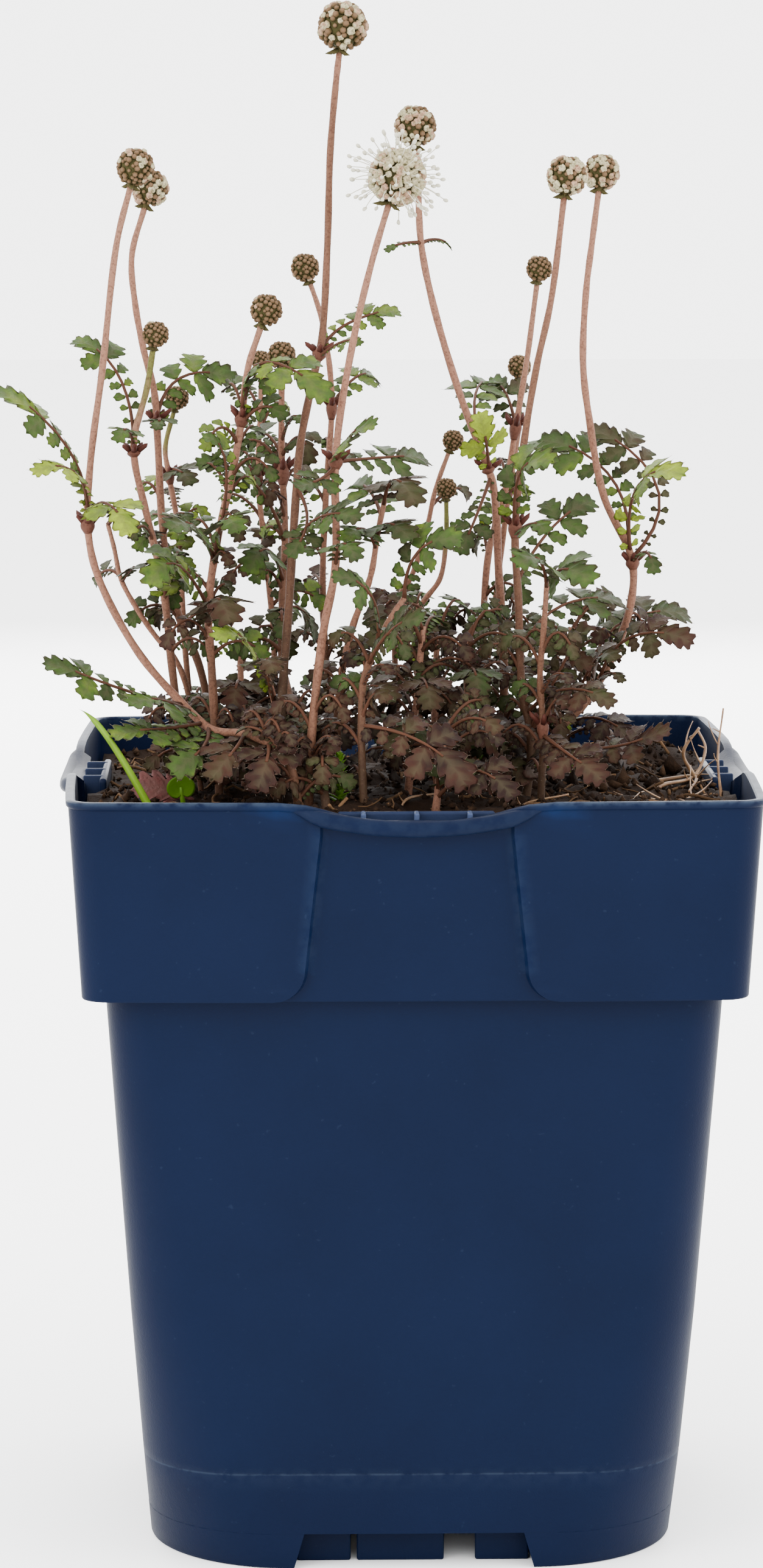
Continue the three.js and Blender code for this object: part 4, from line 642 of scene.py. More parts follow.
# %% The shoots: route, radius, sheath, head [centre, radius], leaves [place, middle, tip, pairs, size]
SHOOTS = {
  "far_left": {
    "route": [[-18, -43, 122], [-20.5, -44, 133.5], [-26.5, -38, 136.5], [-32.5, -31, 136.5],
      [-37.5, -27, 140.5],
      [-44.5, -25, 148.5], [-51, -24, 161], [-52.5, -24, 169], [-52, -23, 179], [-50, -22, 194],
      [-47.5, -21, 214.5]],
    "radius": 0.85, "sheath": 7, "head": [[-44.5, -20, 226.5], 3.5],
    "leaves": [
      [7.1, [-55.5, -29, 182], [-66, -33, 192], 3, 8.6],
      [7.1, [-54, -32, 178], [-60.5, -38, 179], 2, 6.2],
      [7.0, [-49.5, -34, 173.5], [-45, -42, 169.5], 2, 7],
      [3.9, [-47, -34, 143.5], [-58.5, -40, 149], 2, 7.8],
      [3.7, [-40.5, -37, 142], [-45, -44, 143], 1, 8.4],
      [3.3, [-40.5, -38, 137.5], [-48, -44, 138], 2, 7.6],
      [3.1, [-34, -40, 134.5], [-38.5, -46, 132], 1, 8],
      [2.1, [-29, -44, 134.5], [-32.5, -49, 131.5], 1, 8],
      [1.5, [-25, -47, 133.5], [-27.5, -50, 129.5], 1, 8],
    ],
  },
  "left_pale": {
    "route": [[-31, -8, 120], [-34.5, -10, 143.5], [-38.5, -11, 154], [-40.5, -11, 165.5],
      [-41.5, -10, 183.5], [-42, -9, 190], [-43.5, -9, 196], [-45, -8, 204], [-45.5, -8, 212]],
    "radius": 0.8, "sheath": 4.2, "head": [[-42.5, -8, 223], 3.45],
    "leaves": [
      [4.2, [-37.5, -6, 192], [-28, -2, 191.5], 2, 7.8],
      [4.2, [-42, -14, 185.5], [-43.5, -18, 184.5], 1, 4],
    ],
  },
  "left_short": {
    "route": [[-36, -22, 120], [-39, -21, 145], [-40.5, -20, 159], [-43, -19, 170], [-45, -18, 179],
      [-45, -18, 183], [-43, -17, 190.5]],
    "radius": 0.8, "sheath": 4.3, "head": [[-41.5, -17, 199.5], 2.5],
    "leaves": [
      [4.3, [-47.5, -15, 192.5], [-55, -12, 199], 2, 6.6],
      [4.6, [-46, -24, 184.5], [-47.5, -28, 183], 1, 4.5],
    ],
  },
  "left_small": {
    "route": [[-35, 4, 119], [-37.5, 4, 147.5], [-38.5, 4, 166.5], [-40, 4, 175.5], [-40.5, 4, 179.5]],
    "radius": 0.65, "sheath": 2.9, "head": [[-38.5, 4, 188], 2.3],
    "leaves": [
      [3.1, [-38, 0, 176], [-36, -4, 174.5], 1, 5.5],
      [2, [-41.5, 8, 168], [-45, 12, 167.5], 2, 5],
    ],
  },
  "left_thin": {
    "route": [[-34, -14, 120], [-37, -14, 142], [-39, -14, 146.5], [-42, -14, 150], [-45.5, -15, 155.5],
      [-47.5, -15, 159.5], [-48.5, -16, 164.5], [-49.5, -16, 168.5]],
    "radius": 0.6, "sheath": None, "head": None,
    "leaves": [
      [7, [-50.5, -20, 171], [-55.5, -25, 172.5], 1, 5],
      [4.9, [-44.5, -19, 161.5], [-42, -22, 162.5], 1, 4.2],
      [5.1, [-50, -12, 160.5], [-52.5, -9, 158], 1, 4],
    ],
  },
  "mid_left": {
    "route": [[-31, -27, 120], [-32.5, -26, 145.5], [-33, -25, 155.5], [-31.5, -24, 166.5], [-29, -22, 177.5],
      [-27.5, -21, 186], [-26.5, -20, 194]],
    "radius": 0.85, "sheath": 5, "head": [[-23.5, -19, 203.5], 3],
    "leaves": [
      [2.8, [-30, -27.5, 178.5], [-33.5, -31, 184], 2, 4.6],
      [2.7, [-35, -34, 169.5], [-38.5, -42, 170.5], 1, 7.6],
      [2.7, [-30.5, -30, 170], [-28, -36, 169.5], 1, 7],
      [2, [-38, -34, 163.5], [-42, -40, 161], 1, 8],
      [1.7, [-31.5, -34, 158], [-29, -40, 155], 1, 8.5],
      [5.1, [-24, -28, 195.5], [-13.5, -36, 190.5], 2, 8.6],
    ],
  },
  "mid_leafy": {
    "route": [[-13.5, -46, 121], [-15.5, -38, 133], [-18.5, -28, 137.5], [-21, -18, 145.5], [-21, -12, 155.5],
      [-20.5, -9, 166], [-21, -7, 179]],
    "radius": 0.85, "sheath": 5.8, "head": [[-21, -5, 195.5], 2.7],
    "leaves": [
      [6, [-18, -12, 182.5], [-16.5, -14, 178], 1, 5],
      [6, [-24, -2, 182.5], [-27, 2, 180], 1, 5],
      [4.9, [-24.5, -16, 175.5], [-32, -22, 179], 2, 6.6],
      [4.3, [-23.5, -18, 164.5], [-26.5, -24, 161.5], 1, 7.2],
    ],
  },
  "mid_back": {
    "route": [[-22, 12, 118], [-22.5, 12, 147.5], [-24, 11, 163], [-25, 11, 174], [-24.5, 10, 187]],
    "radius": 0.65, "sheath": 3, "head": [[-24.5, 10, 194], 1.9],
    "leaves": [],
  },
  "tall_centre": {
    "route": [[-22, -36, 121], [-21, -34, 143.5], [-20, -30, 156], [-19, -26, 170.5], [-18, -23, 182],
      [-16, -20, 192], [-14.5, -18, 198.5], [-13.5, -16, 214], [-13, -15, 229], [-12, -14, 240.5]],
    "radius": 0.85, "sheath": 5.7, "head": [[-11, -13, 249], 4.6],
    "leaves": [
      [5.7, [-10.5, -15, 201], [-1.5, -12, 203.5], 2, 5.6],
      [5.6, [-12.5, -24, 198.5], [-10.5, -28, 198.5], 1, 3.6],
      [3.4, [-17, -32, 170], [-20, -38, 165.5], 1, 5],
      [2.6, [-15.5, -36, 171], [-9, -44, 172], 2, 6.2],
    ],
  },
  "open_flower": {
    "route": [[-17, -40, 121], [-16.5, -41, 136], [-14.5, -38, 153], [-12.5, -35, 163.5], [-12.5, -32, 176.5],
      [-12, -30, 184.5], [-9.5, -28, 199], [-6.5, -27, 211.5]],
    "radius": 0.85, "sheath": 4.4, "head": [[-2.5, -26, 225], 5.1],
    "leaves": [
      [4.4, [-10, -38, 184.5], [-6.5, -42, 187], 1, 6.4],
      [4.4, [-5.5, -26, 180], [3, -20, 180], 2, 7.6],
      [4.3, [-15.5, -36, 177], [-18.5, -40, 177], 1, 6],
      [3, [-11.5, -42, 167.5], [-9, -46, 165.5], 1, 6],
    ],
  },
  "centre_leafy": {
    "route": [[-12, -18, 119], [-12, -21, 137.5], [-11.5, -22, 143.5], [-9.5, -23, 152.5], [-7.5, -24, 158],
      [-6.5, -25, 161.5], [-5.5, -26, 168], [-4.5, -27, 173]],
    "radius": 0.75, "sheath": None, "head": None,
    "leaves": [
      [6.5, [-7, -20, 174.5], [-10, -14, 175.5], 1, 7.6],
      [6.9, [-3, -34, 177], [0.5, -40, 174], 1, 8.2],
      [5.9, [-4, -34, 170], [-0.5, -40, 168.5], 1, 7.4],
      [5.6, [-8, -32, 169], [-11, -38, 168], 1, 6.4],
      [1, [-7.5, -28, 143], [-3, -34, 142], 2, 6.6],
    ],
  },
  "front_leafy": {
    "route": [[-8, -43, 121], [-8.5, -42, 138.5], [-8, -40, 146], [-6, -38, 150.5], [-4, -36, 154.5],
      [-1.5, -34, 158]],
    "radius": 0.75, "sheath": None, "head": None,
    "leaves": [
      [5, [-0.5, -39, 166], [5.5, -43, 168.5], 3, 7.2],
      [3, [-7, -46, 159.5], [-13, -50, 163.5], 2, 6],
      [2.4, [-4, -46, 154], [0.5, -52, 157], 2, 6.6],
      [1, [1.5, -46, 136], [8.5, -49, 129.5], 2, 9.5],
    ],
  },
  "rosette_leafy": {
    "route": [[-23, -29, 120], [-22, -30, 134.5], [-22.5, -31, 141.5], [-24, -32, 147]],
    "radius": 0.7, "sheath": None, "head": None,
    "leaves": [
      [2, [-27, -37, 151.5], [-31.5, -42, 153], 2, 7.4],
      [1.9, [-21.5, -40, 148.5], [-18.5, -46, 148], 1, 6],
    ],
  },
  "centre_pink": {
    "route": [[15.5, -4, 119], [16, -5, 142], [15, -6, 160], [14, -7, 174], [12.5, -7, 178.5], [8.5, -7, 189],
      [4, -7, 204], [2, -7, 214], [1.5, -7, 224]],
    "radius": 0.85, "sheath": 3.6, "head": [[1, -7, 233], 3.9],
    "leaves": [
      [3.5, [12.5, -12, 182], [11.5, -14, 186.5], 0, 6.4],
      [3.8, [17.5, 0, 187.5], [28.5, 6, 191], 2, 8],
      [3.3, [10.5, -14, 168.5], [8, -18, 164], 1, 5.6],
      [7, [-1, -10, 214], [-4, -12, 213], 0, 3],
      [7, [5, -4, 214.5], [7.5, -2, 213], 0, 3],
    ],
  },
  "right_white": {
    "route": [[18, -26, 120], [19.5, -25, 133.5], [18, -24, 142.5], [17.5, -22, 156], [17, -20, 167],
      [18, -18, 178], [20.5, -16, 193.5], [23, -15, 205]],
    "radius": 0.85, "sheath": 4.1, "head": [[25.5, -14, 225], 3.7],
    "leaves": [
      [4.1, [17.5, -26, 177.5], [22, -32, 180.5], 2, 7.8],
      [4, [19.5, -28, 169.5], [21.5, -32, 168.5], 1, 5.2],
      [3.3, [23, -16, 167.5], [30.5, -12, 172.5], 2, 7.4],
      [2.4, [24.5, -18, 155], [36, -12, 155.5], 2, 8.2],
      [1.5, [24.5, -32, 143], [32, -38, 141.5], 2, 6],
      [1, [32, -28, 133], [41, -32, 137], 2, 7],
      [1.2, [26, -28, 149.5], [28.5, -30, 152.5], 2, 6.6],
    ],
  },
  "far_right": {
    "route": [[19.5, -15, 119], [24, -13, 133], [29, -11, 138], [34, -9, 146], [37, -8, 155], [37, -8, 162],
      [32.5, -6, 172], [30, -5, 185], [29, -4, 194], [29.5, -3, 206], [30.5, -2, 214]],
    "radius": 0.85, "sheath": 4.9, "head": [[32, -1, 225.5], 3.4],
    "leaves": [
      [5, [41.5, -4, 173.5], [30.5, 2, 183.5], 2, 7.4],
      [5.1, [37.5, -14, 174.5], [44.5, -20, 177.5], 2, 8],
      [5.2, [33.5, -2, 175.5], [22, 4, 181.5], 2, 8.4],
      [4.9, [39, -14, 163.5], [40, -18, 160.5], 0, 4.4],
      [2.1, [34.5, -4, 150], [48, 2, 152], 2, 8.6],
      [2.5, [36.5, -14, 149.5], [46.5, -18, 149.5], 2, 7.4],
      [1.5, [30, -20, 146], [33, -26, 147.5], 2, 6],
    ],
  },
  "right_back": {
    "route": [[13.5, 8, 118], [13, 8, 144], [14, 7, 162], [16.5, 6, 171.5], [18.5, 5, 184], [20, 4, 193.5]],
    "radius": 0.75, "sheath": 3.9, "head": [[22, 3, 209.5], 2.5],
    "leaves": [
      [3.9, [16.5, 11, 189], [13.5, 15, 190], 1, 6.4],
    ],
  },
  "right_hidden": {
    "route": [[11.5, 20, 117], [15.5, 19, 151], [18, 18, 172], [19.5, 17, 182.5]],
    "radius": 0.65, "sheath": 2, "head": [[19.5, 17, 192.5], 2.3],
    "leaves": [
      [2, [24, 21, 178], [29, 24, 177], 1, 6.4],
    ],
  },
  "right_leafy": {
    "route": [[20.5, -33, 120], [21, -32, 137], [20.5, -32, 145], [21, -32.5, 152.5], [21.5, -33, 160.5]],
    "radius": 0.7, "sheath": 1, "head": None,
    "leaves": [
      [3.9, [19.5, -42, 165], [16, -47, 165], 1, 7.8],
      [4, [24, -38, 163], [28, -43, 162], 1, 8.2],
      [0.9, [25.5, -41, 133], [30, -46, 130.5], 2, 7.6],
    ],
  },
  "centre_back": {
    "route": [[-11, 16, 118], [-14, 15, 151.5], [-13.5, 13, 170.5], [-12.5, 12, 186], [-13, 11, 194],
      [-14.5, 10, 202]],
    "radius": 0.7, "sheath": 3, "head": [[-17, 10, 209.5], 2.75],
    "leaves": [
      [3, [-8, 16, 191], [-4, 20, 190], 1, 6],
    ],
  },
  "back_green": {
    "route": [[2.5, 15, 117.5], [2, 15, 146.5], [1.5, 15, 150], [3.5, 15, 153], [6, 15, 156.5], [7, 14, 164]],
    "radius": 0.65, "sheath": 1.6, "head": [[7, 14, 172], 2.05],
    "leaves": [],
  },
  "back_thin": {
    "route": [[-0.5, 27, 117], [-1.5, 27, 145.5], [-1.5, 27, 150.5], [1.5, 26, 156], [4, 25, 164],
      [5.5, 24, 171]],
    "radius": 0.65, "sheath": 1.6, "head": [[8.5, 24, 179.5], 2.1],
    "leaves": [
      [4.6, [9, 27, 171], [12, 29, 169], 0, 4.5],
    ],
  },
}

# Low bushy growth: root, top, how many leaves, how far they reach
TUFTS = {
  "tuft_front": { "root": [3, -41, 121], "top": [5, -36, 137], "leaves": 3, "reach": 15 },
  "tuft_middle": { "root": [-1, -24, 120], "top": [2, -20, 152], "leaves": 5, "reach": 16 },
  "tuft_centre_back": { "root": [4, -6, 119], "top": [5, 0, 150], "leaves": 4, "reach": 16 },
  "tuft_left_back": { "root": [-21, 0, 119], "top": [-24, -1, 149], "leaves": 4, "reach": 16 },
  "tuft_left": { "root": [-27, -18, 120], "top": [-28, -15, 147], "leaves": 4, "reach": 15 },
  "tuft_right": { "root": [10, -22, 120], "top": [9, -17, 150], "leaves": 4, "reach": 14 },
  "tuft_right_back": { "root": [24, 3, 118.5], "top": [28, 6, 149], "leaves": 4, "reach": 16 },
}
print(len(SHOOTS), "shoots and", len(TUFTS), "tufts")

# %% Where each leaf stands: its arc, its lean to the light, its leaflets
HEAD_CORE, CLEARANCE = 0.84, 0.3
TILT_TO_LIGHT, TILT_SCATTER = 38, 14
GOLDEN_ANGLE = math.radians(137.5)
TUFT_LEAFLET, TUFT_RADIUS = 6.6, 0.8
LEAFLET_STEP, LEAFLET_LENGTH, LEAFLET_ANGLE = (1.2, 0.52, 0.42), (0.75, 0.52, 0.36), math.radians(72)
LARGE_LEAF = 6.5
LONGEST_SHARE, TOOTH_SETBACK, PLAIN_HALF, NEAR_BEST = 0.8, 0.09, 0.31, 0.05
LIFTS, TURNS = (0, 3, -3, 6, -6), (0, 14, -14, 28, -28, 45, -45)


def full_route(shoot):
    """The route with its end under the flower head, where there is one."""
    route = np.asarray(shoot["route"], float)
    if not shoot["head"]:
        return route
    centre, radius = np.asarray(shoot["head"][0], float), shoot["head"][1]
    down = unit(route[-1] - centre)
    return np.vstack([route, centre + down * (radius * HEAD_CORE + CLEARANCE)])


def facing_light(lean):
    """The direction a blade faces when it leans towards the front by an angle."""
    return np.array([0, -math.sin(lean), math.cos(lean)])


def tuft_leaves(tuft):
    """The leaves of low growth, a golden angle apart round a short stem, by the plain part's own shares."""
    root, top = np.array(tuft["root"]), np.array(tuft["top"])
    route = np.array([root, root * 0.55 + top * 0.45, top])
    leaves, count = [], tuft["leaves"]
    for i in range(count):
        place = 0.75 + 1.2 * (i + 0.5) / count
        angle = GOLDEN_ANGLE * i + math.radians(40 * scatter(i, 2))
        out = tuft["reach"] * (1 - 0.35 * i / count)
        start, rise = on_route(route, min(place, 2))[0], 5 + 3 * scatter(i, 3)
        side = np.array([math.cos(angle), math.sin(angle), 0])
        middle = start + side * out * 0.45 + [0, 0, rise]
        leaves.append([place, middle, start + side * out + [0, 0, rise * 0.3 - 1], 1, TUFT_LEAFLET])
    return route, leaves


def swung(leaf_points, degrees, lift):
    """A leaf turned about the vertical through its base, and lifted towards its tip."""
    base, middle, tip = (np.asarray(p, float) for p in leaf_points)
    cos, sin = math.cos(math.radians(degrees)), math.sin(math.radians(degrees))
    spin = np.array([[cos, sin, 0], [-sin, cos, 0], [0, 0, 1]])
    return base, (middle - base) @ spin + base + [0, 0, lift * 0.6], (tip - base) @ spin + base + [0, 0, lift]


def as_placed(node, leaf_points, size, teeth, lean):
    """The leaf as the plain one was turned and lifted: the way whose end tooth is in the node's mesh."""
    corners = node_corners[node]
    ways = [(turn, lift) for lift in LIFTS for turn in TURNS]
    misses = []
    for turn, lift in ways:
        arc = Arc(*swung(leaf_points, turn, lift))
        fitting = min(size, arc.length * LONGEST_SHARE)
        end, slope = arc.at(arc.length - fitting * (0 if teeth % 2 == 0 else TOOTH_SETBACK))
        across = unit(np.cross(slope, lean))
        up = np.cross(across, slope)
        corner_misses = [np.linalg.norm(corners - (end + up * half), axis=1).min()
                         for half in (PLAIN_HALF, -PLAIN_HALF)]
        misses.append(max(corner_misses))
    best = int(np.argmax(np.array(misses) < min(misses) + NEAR_BEST))
    return swung(leaf_points, *ways[best]), misses[best]


print("ways tried for each leaf:", len(LIFTS) * len(TURNS))

# %% Each plain leaf found again in its node
node_corners = {}
for name in [*SHOOTS, *TUFTS]:
    corners = np.zeros(len(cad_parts[name].data.vertices) * 3, np.float32)
    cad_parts[name].data.vertices.foreach_get("co", corners)
    node_corners[name] = corners.reshape(-1, 3) / MM

growth, worst = {}, 0.0
for count, name in enumerate([*SHOOTS, *TUFTS]):
    tuft = name in TUFTS
    route, leaves = tuft_leaves(TUFTS[name]) if tuft else (full_route(SHOOTS[name]), SHOOTS[name]["leaves"])
    growth[name] = {"route": route, "leaves": [], "radius": TUFT_RADIUS if tuft else SHOOTS[name]["radius"]}
    for i, (place, middle, tip, pairs, size) in enumerate(leaves):
        sky = facing_light(math.radians(TILT_TO_LIGHT + TILT_SCATTER * scatter(count, i)))
        base = on_route(route, min(place, len(route) - 1))[0]
        teeth = 3 if not tuft and size > LARGE_LEAF else 2
        placed, miss = as_placed(name, (base, middle, tip), size, teeth, sky)
        worst = max(worst, miss)
        growth[name]["leaves"].append((placed, pairs, size, sky, i))
found = sum(len(grown["leaves"]) for grown in growth.values())
print(found, "leaves found, the worst end", round(worst, 2), "mm off")

# %% [markdown]
# ## One leaflet as a toothed, folded sheet
# The real leaf is a row of paired leaflets on a thin reddish stalk, larger towards the tip. Each leaflet is
# an oval with a few blunt teeth, sunken side veins, halves folded up along the midrib, and a tip that droops.
# It is a grid: one direction goes from base to tip, the other from edge to edge across the midrib. An upper
# and a lower sheet meet at the edge, so the blade has a thickness and closes.

# %% Hairs, as needles on a surface
THIRDS_OF_TURN = (0, 2.094, 4.189)


def hairs(roots, ways, length, thick):
    """Needles of four faces: a small triangle at each root, and a point a length away."""
    ways = unit(ways)
    side = unit(np.cross(ways, [0.21, 0.35, 0.91]))
    over_side = np.cross(ways, side)
    corner = [roots + thick * (math.cos(t) * side + math.sin(t) * over_side) for t in THIRDS_OF_TURN]
    points = np.stack([*corner, roots + ways * length], 1)
    faces = np.array([[0, 2, 1], [0, 1, 3], [1, 2, 3], [2, 0, 3]])
    numbered = faces[None] + 4 * np.arange(len(roots))[:, None, None]
    return patch(points, numbered.reshape(-1, 3), hair=1.0)


print("one hair has", len(hairs(np.zeros((1, 3)), np.ones((1, 3)), 1.0, 0.1)[1]), "faces")

# %% One leaflet as a grid
ACROSS = np.array([-1, -0.86, -0.5, 0, 0.5, 0.86, 1.0])
ACROSS_SMALL = np.array([-1, -0.6, 0, 0.6, 1.0])
LOWER_LANES = {7: [0, 2, 3, 4, 6], 5: [0, 2, 4]}
SMALL_LEAFLET = 3.6
BLADE = 0.22


def leaflet(length, teeth, wide=0.43):
    """Along = length (0.5 - 0.5 cos pi v), half width = wide length sin(pi v)^0.8 (0.72 + 0.45 v). Every
    third row is a notch, where the edge stands in by 0.4."""
    v = np.linspace(0, 1, 3 * teeth + 1)
    lanes = ACROSS if length > SMALL_LEAFLET else ACROSS_SMALL
    along = length * (0.5 - 0.5 * np.cos(math.pi * v))
    half = wide * length * np.sin(math.pi * v) ** 0.8 * (0.72 + 0.45 * v)
    foot = np.maximum(along - 0.75 * half, 0)
    notch = np.arange(len(v)) % 3 == 2
    share = np.abs(lanes)[None, :]
    near_edge = smooth((share - 0.6) / 0.4)
    reach = half[:, None] * (1 - 0.4 * notch[:, None] * near_edge)
    ahead = length * (0.05 * ~notch - 0.02 * notch)[:, None] * near_edge * (half[:, None] > 0)
    a = foot[:, None] + (along - foot)[:, None] * share + ahead
    b = reach * lanes[None, :]
    swell = np.sin(math.pi * v)[:, None]
    groove = 0.035 * length * np.where(notch, 1, -0.6)[:, None] * np.sin(math.pi * share) * swell
    fold = 0.2 * np.abs(b) - 0.16 * length * (a / length) ** 2 + groove
    vein = np.maximum(np.where(notch[:, None], 0, 0.75) * (1 - near_edge), bell(share, 0, 0.12))
    edge = np.broadcast_to(share**3, a.shape)
    body = BLADE * (1 - share**4) * swell**0.5
    return a, b, fold, body, edge, vein


print("leaflet points:", leaflet(8, 5)[0].size)


# %% A leaflet laid on its leaf
def blade(arc, sky, start, length, teeth, side, tone, twist=0.0):
    """Both sheets of one leaflet: at the end of the stalk (side 0), or on one side of it (-1 or 1)."""
    a, b, height, body, edge, vein = leaflet(length, teeth)
    if side == 0:
        s, w = start + a, b
    else:
        cos, sin = math.cos(LEAFLET_ANGLE), math.sin(LEAFLET_ANGLE)
        s, w = start + a * cos - b * sin, side * (0.25 + a * sin + b * cos)
    at, along = arc.at(s.ravel())
    past = np.maximum(s.ravel() - arc.length, 0)[:, None]
    across = unit(np.cross(along, sky))
    up = np.cross(across, along)
    lift = height.ravel() - 0.1 * np.abs(w.ravel()) + twist * w.ravel() * side
    top = at + along * past + across * w.ravel()[:, None] + up * lift[:, None]
    low = top - up * body.ravel()[:, None]
    quads = grid_quads(*a.shape)
    if side >= 0:
        quads = quads[:, ::-1]
    marks = dict(edge=edge, vein=vein, tone=tone)
    made = [patch(top, quads, under=0.0, **marks)]
    kept = LOWER_LANES[a.shape[1]]
    grid = np.arange(a.size).reshape(a.shape)[:, kept].ravel()
    quads = grid_quads(a.shape[0], len(kept))
    if side < 0:
        quads = quads[:, ::-1]
    marks = dict(edge=edge.ravel()[grid], vein=np.broadcast_to(vein, a.shape).ravel()[grid], tone=tone)
    made.append(patch(low[grid], quads, under=1.0, **marks))
    if length > SMALL_LEAFLET:
        tooth_rows = top.reshape(*a.shape, 3)[1::3]
        roots = np.concatenate([tooth_rows[:, 0], tooth_rows[:, -1]])
        inner = np.concatenate([tooth_rows[:, 2], tooth_rows[:, -3]])
        made.append(hairs(roots, unit(roots - inner) + 0.25 * up[: len(roots)], 0.55, 0.035))
    return made


print("lanes of the lower sheet:", LOWER_LANES)

# %% A whole leaf
FINER_SIZE = 0.86


def leaf_patches(placed, pairs, size, sky, tone, count):
    """A whole leaf: stalk, end leaflet, the pairs the plain leaf has, and small pairs down to the stem, each
    pair a share of the size below the last and shorter than it."""
    arc = Arc(*placed)
    size = FINER_SIZE * min(size, arc.length * LONGEST_SHARE)
    pairs = min(pairs + 1, 3) if size > 4.5 else pairs
    large = size > 5
    made = blade(arc, sky, arc.length - size, size, 5 if large else 4, 0, tone)
    spots, along = [], arc.length
    for k in range(pairs):
        along -= LEAFLET_STEP[k] * size
        if along > 0.15 * size + 0.4:
            spots.append((along, LEAFLET_LENGTH[k] * size))
    rest = (spots[-1][0] if spots else arc.length - size) - 0.36 * size
    shrink = 0.34
    while rest > 0.8 and shrink > 0.1:
        spots.append((rest, shrink * size))
        rest -= (0.32 + 0.1 * scatter(count, len(spots))) * size
        shrink *= 0.82
    for k, (s, length) in enumerate(spots):
        for side in (-1, 1):
            teeth = 4 if length > SMALL_LEAFLET else 3 if length > 2 else 2
            shade = float(np.clip(tone + 0.1 * scatter(count + 7 * k, side), 0, 1))
            grown_to = length * (1 + 0.12 * scatter(k, side + count))
            made += blade(arc, sky, s, grown_to, teeth, side, shade, 0.12 * scatter(count, k))
    s = np.linspace(0, arc.length - size * 0.8, 9)
    thick = np.interp(s, [0, arc.length * 0.3, arc.length], [0.42, 0.3, 0.2])
    made.append(tube(arc.at(s)[0], thick, 5, stalk=1.0, tone=tone))
    return made


print("a finer leaflet has", FINER_SIZE, "of the plain one's length")

# %% [markdown]
# ## Leaf finish: bronze below, green where it is young
# Leaves near the soil are dark purple-brown, partly their own colour and partly painted shade of the low mass,
# and higher ones are greener, to a bright yellow-green in a few. One number at each point, the tone, picks the
# colour, and noise clouds it. Teeth stay bronze, veins are paler, and the underside is a dull grey-purple.
# Fine noise and the veins are sunk into the surface.

# %% Leaf and stem finishes
def leaf_skin():
    """Flesh by tone and cloud, then rust near the edge, veins, the pale rim, underside, stalk and hairs."""
    finish = Finish("leaf_skin", 0.7, Specular_IOR_Level=0.06)
    tone, edge, vein = finish.mark("tone"), finish.mark("edge"), finish.mark("vein")
    cloud, grain = finish.noise(0.22, 3), finish.noise(2.6, 2, 0.7)
    # The darkest low tones, on leaves near the soil, are partly painted shade of the low mass.
    flesh = finish.ramp(
        tone + cloud * 0.7 - 0.35,
        (0.0, (0.019, 0.006, 0.005)), (0.2, (0.052, 0.018, 0.011)), (0.34, (0.042, 0.034, 0.012)),
        (0.5, (0.034, 0.058, 0.014)), (0.66, (0.060, 0.115, 0.018)), (0.84, (0.17, 0.25, 0.020)),
        (1.0, (0.32, 0.42, 0.025)),
    )
    flesh = finish.blend(grain.above(0.55, 0.2) * 0.2, flesh, (0.04, 0.028, 0.015))
    rust = edge.above(0.62, 0.3) * (finish.noise(0.5, 2) * 1.3 - 0.15)
    rusty = finish.blend(rust, flesh, (0.040, 0.013, 0.009))
    veined = finish.blend((vein**3) * 0.4, rusty, (0.10, 0.085, 0.045))
    veined = finish.blend(edge.above(0.94, 0.05) * 0.35, veined, (0.30, 0.23, 0.15))
    under = finish.blend(finish.mark("under") * 0.6, veined, (0.055, 0.038, 0.030))
    stalks = finish.blend(finish.mark("stalk"), under, (0.10, 0.040, 0.022))
    stalks = finish.blend(finish.mark("hair"), stalks, (0.34, 0.28, 0.22))
    return finish.wear(stalks, 0.5 + grain * 0.2, grain * 0.6 - (vein**2) * 0.8, 0.12)


def stem_skin():
    """Bark by age and streaks, then dark and pale specks, the sheath at a joint, and hairs."""
    finish = Finish("stem_skin", 0.55, Specular_IOR_Level=0.08)
    young, streak = finish.mark("young"), finish.noise(0.9, 3, 0.6, stretch=(1, 1, 0.12))
    speck = finish.noise(2.4, 2, 0.7)
    bark = finish.ramp(
        young + streak * 0.3 - 0.15,
        (0.0, (0.060, 0.032, 0.016)), (0.3, (0.16, 0.072, 0.040)), (0.6, (0.36, 0.165, 0.105)),
        (0.85, (0.36, 0.180, 0.115)), (1.0, (0.17, 0.165, 0.040)),
    )
    bark = finish.blend(speck.above(0.56, 0.08) * 0.45, bark, (0.045, 0.013, 0.009))
    bark = finish.blend(speck.above(0.3, 0.12) * -0.3 + 0.3, bark, (0.32, 0.18, 0.11))
    bark = finish.blend(finish.mark("joint"), bark, (0.085, 0.020, 0.014))
    bark = finish.blend(finish.mark("hair"), bark, (0.42, 0.32, 0.24))
    return finish.wear(bark, 0.5 + speck * 0.2, streak * 0.6 + speck * 0.5, 0.12)


leaf_material, stem_material = leaf_skin(), stem_skin()
print("finishes:", leaf_material.name, stem_material.name)

# %% [markdown]
# ## Stems, joints and leaves of each shoot
# A stem is a tube on its spline, thick at the root and thinner under the flower. Where leaves start, their
# bases wrap the stem in a red sheath with a few pointed lobes. One object holds a shoot's stems, another its
# leaves, so each has its own finish, and both stand for the same plain piece.

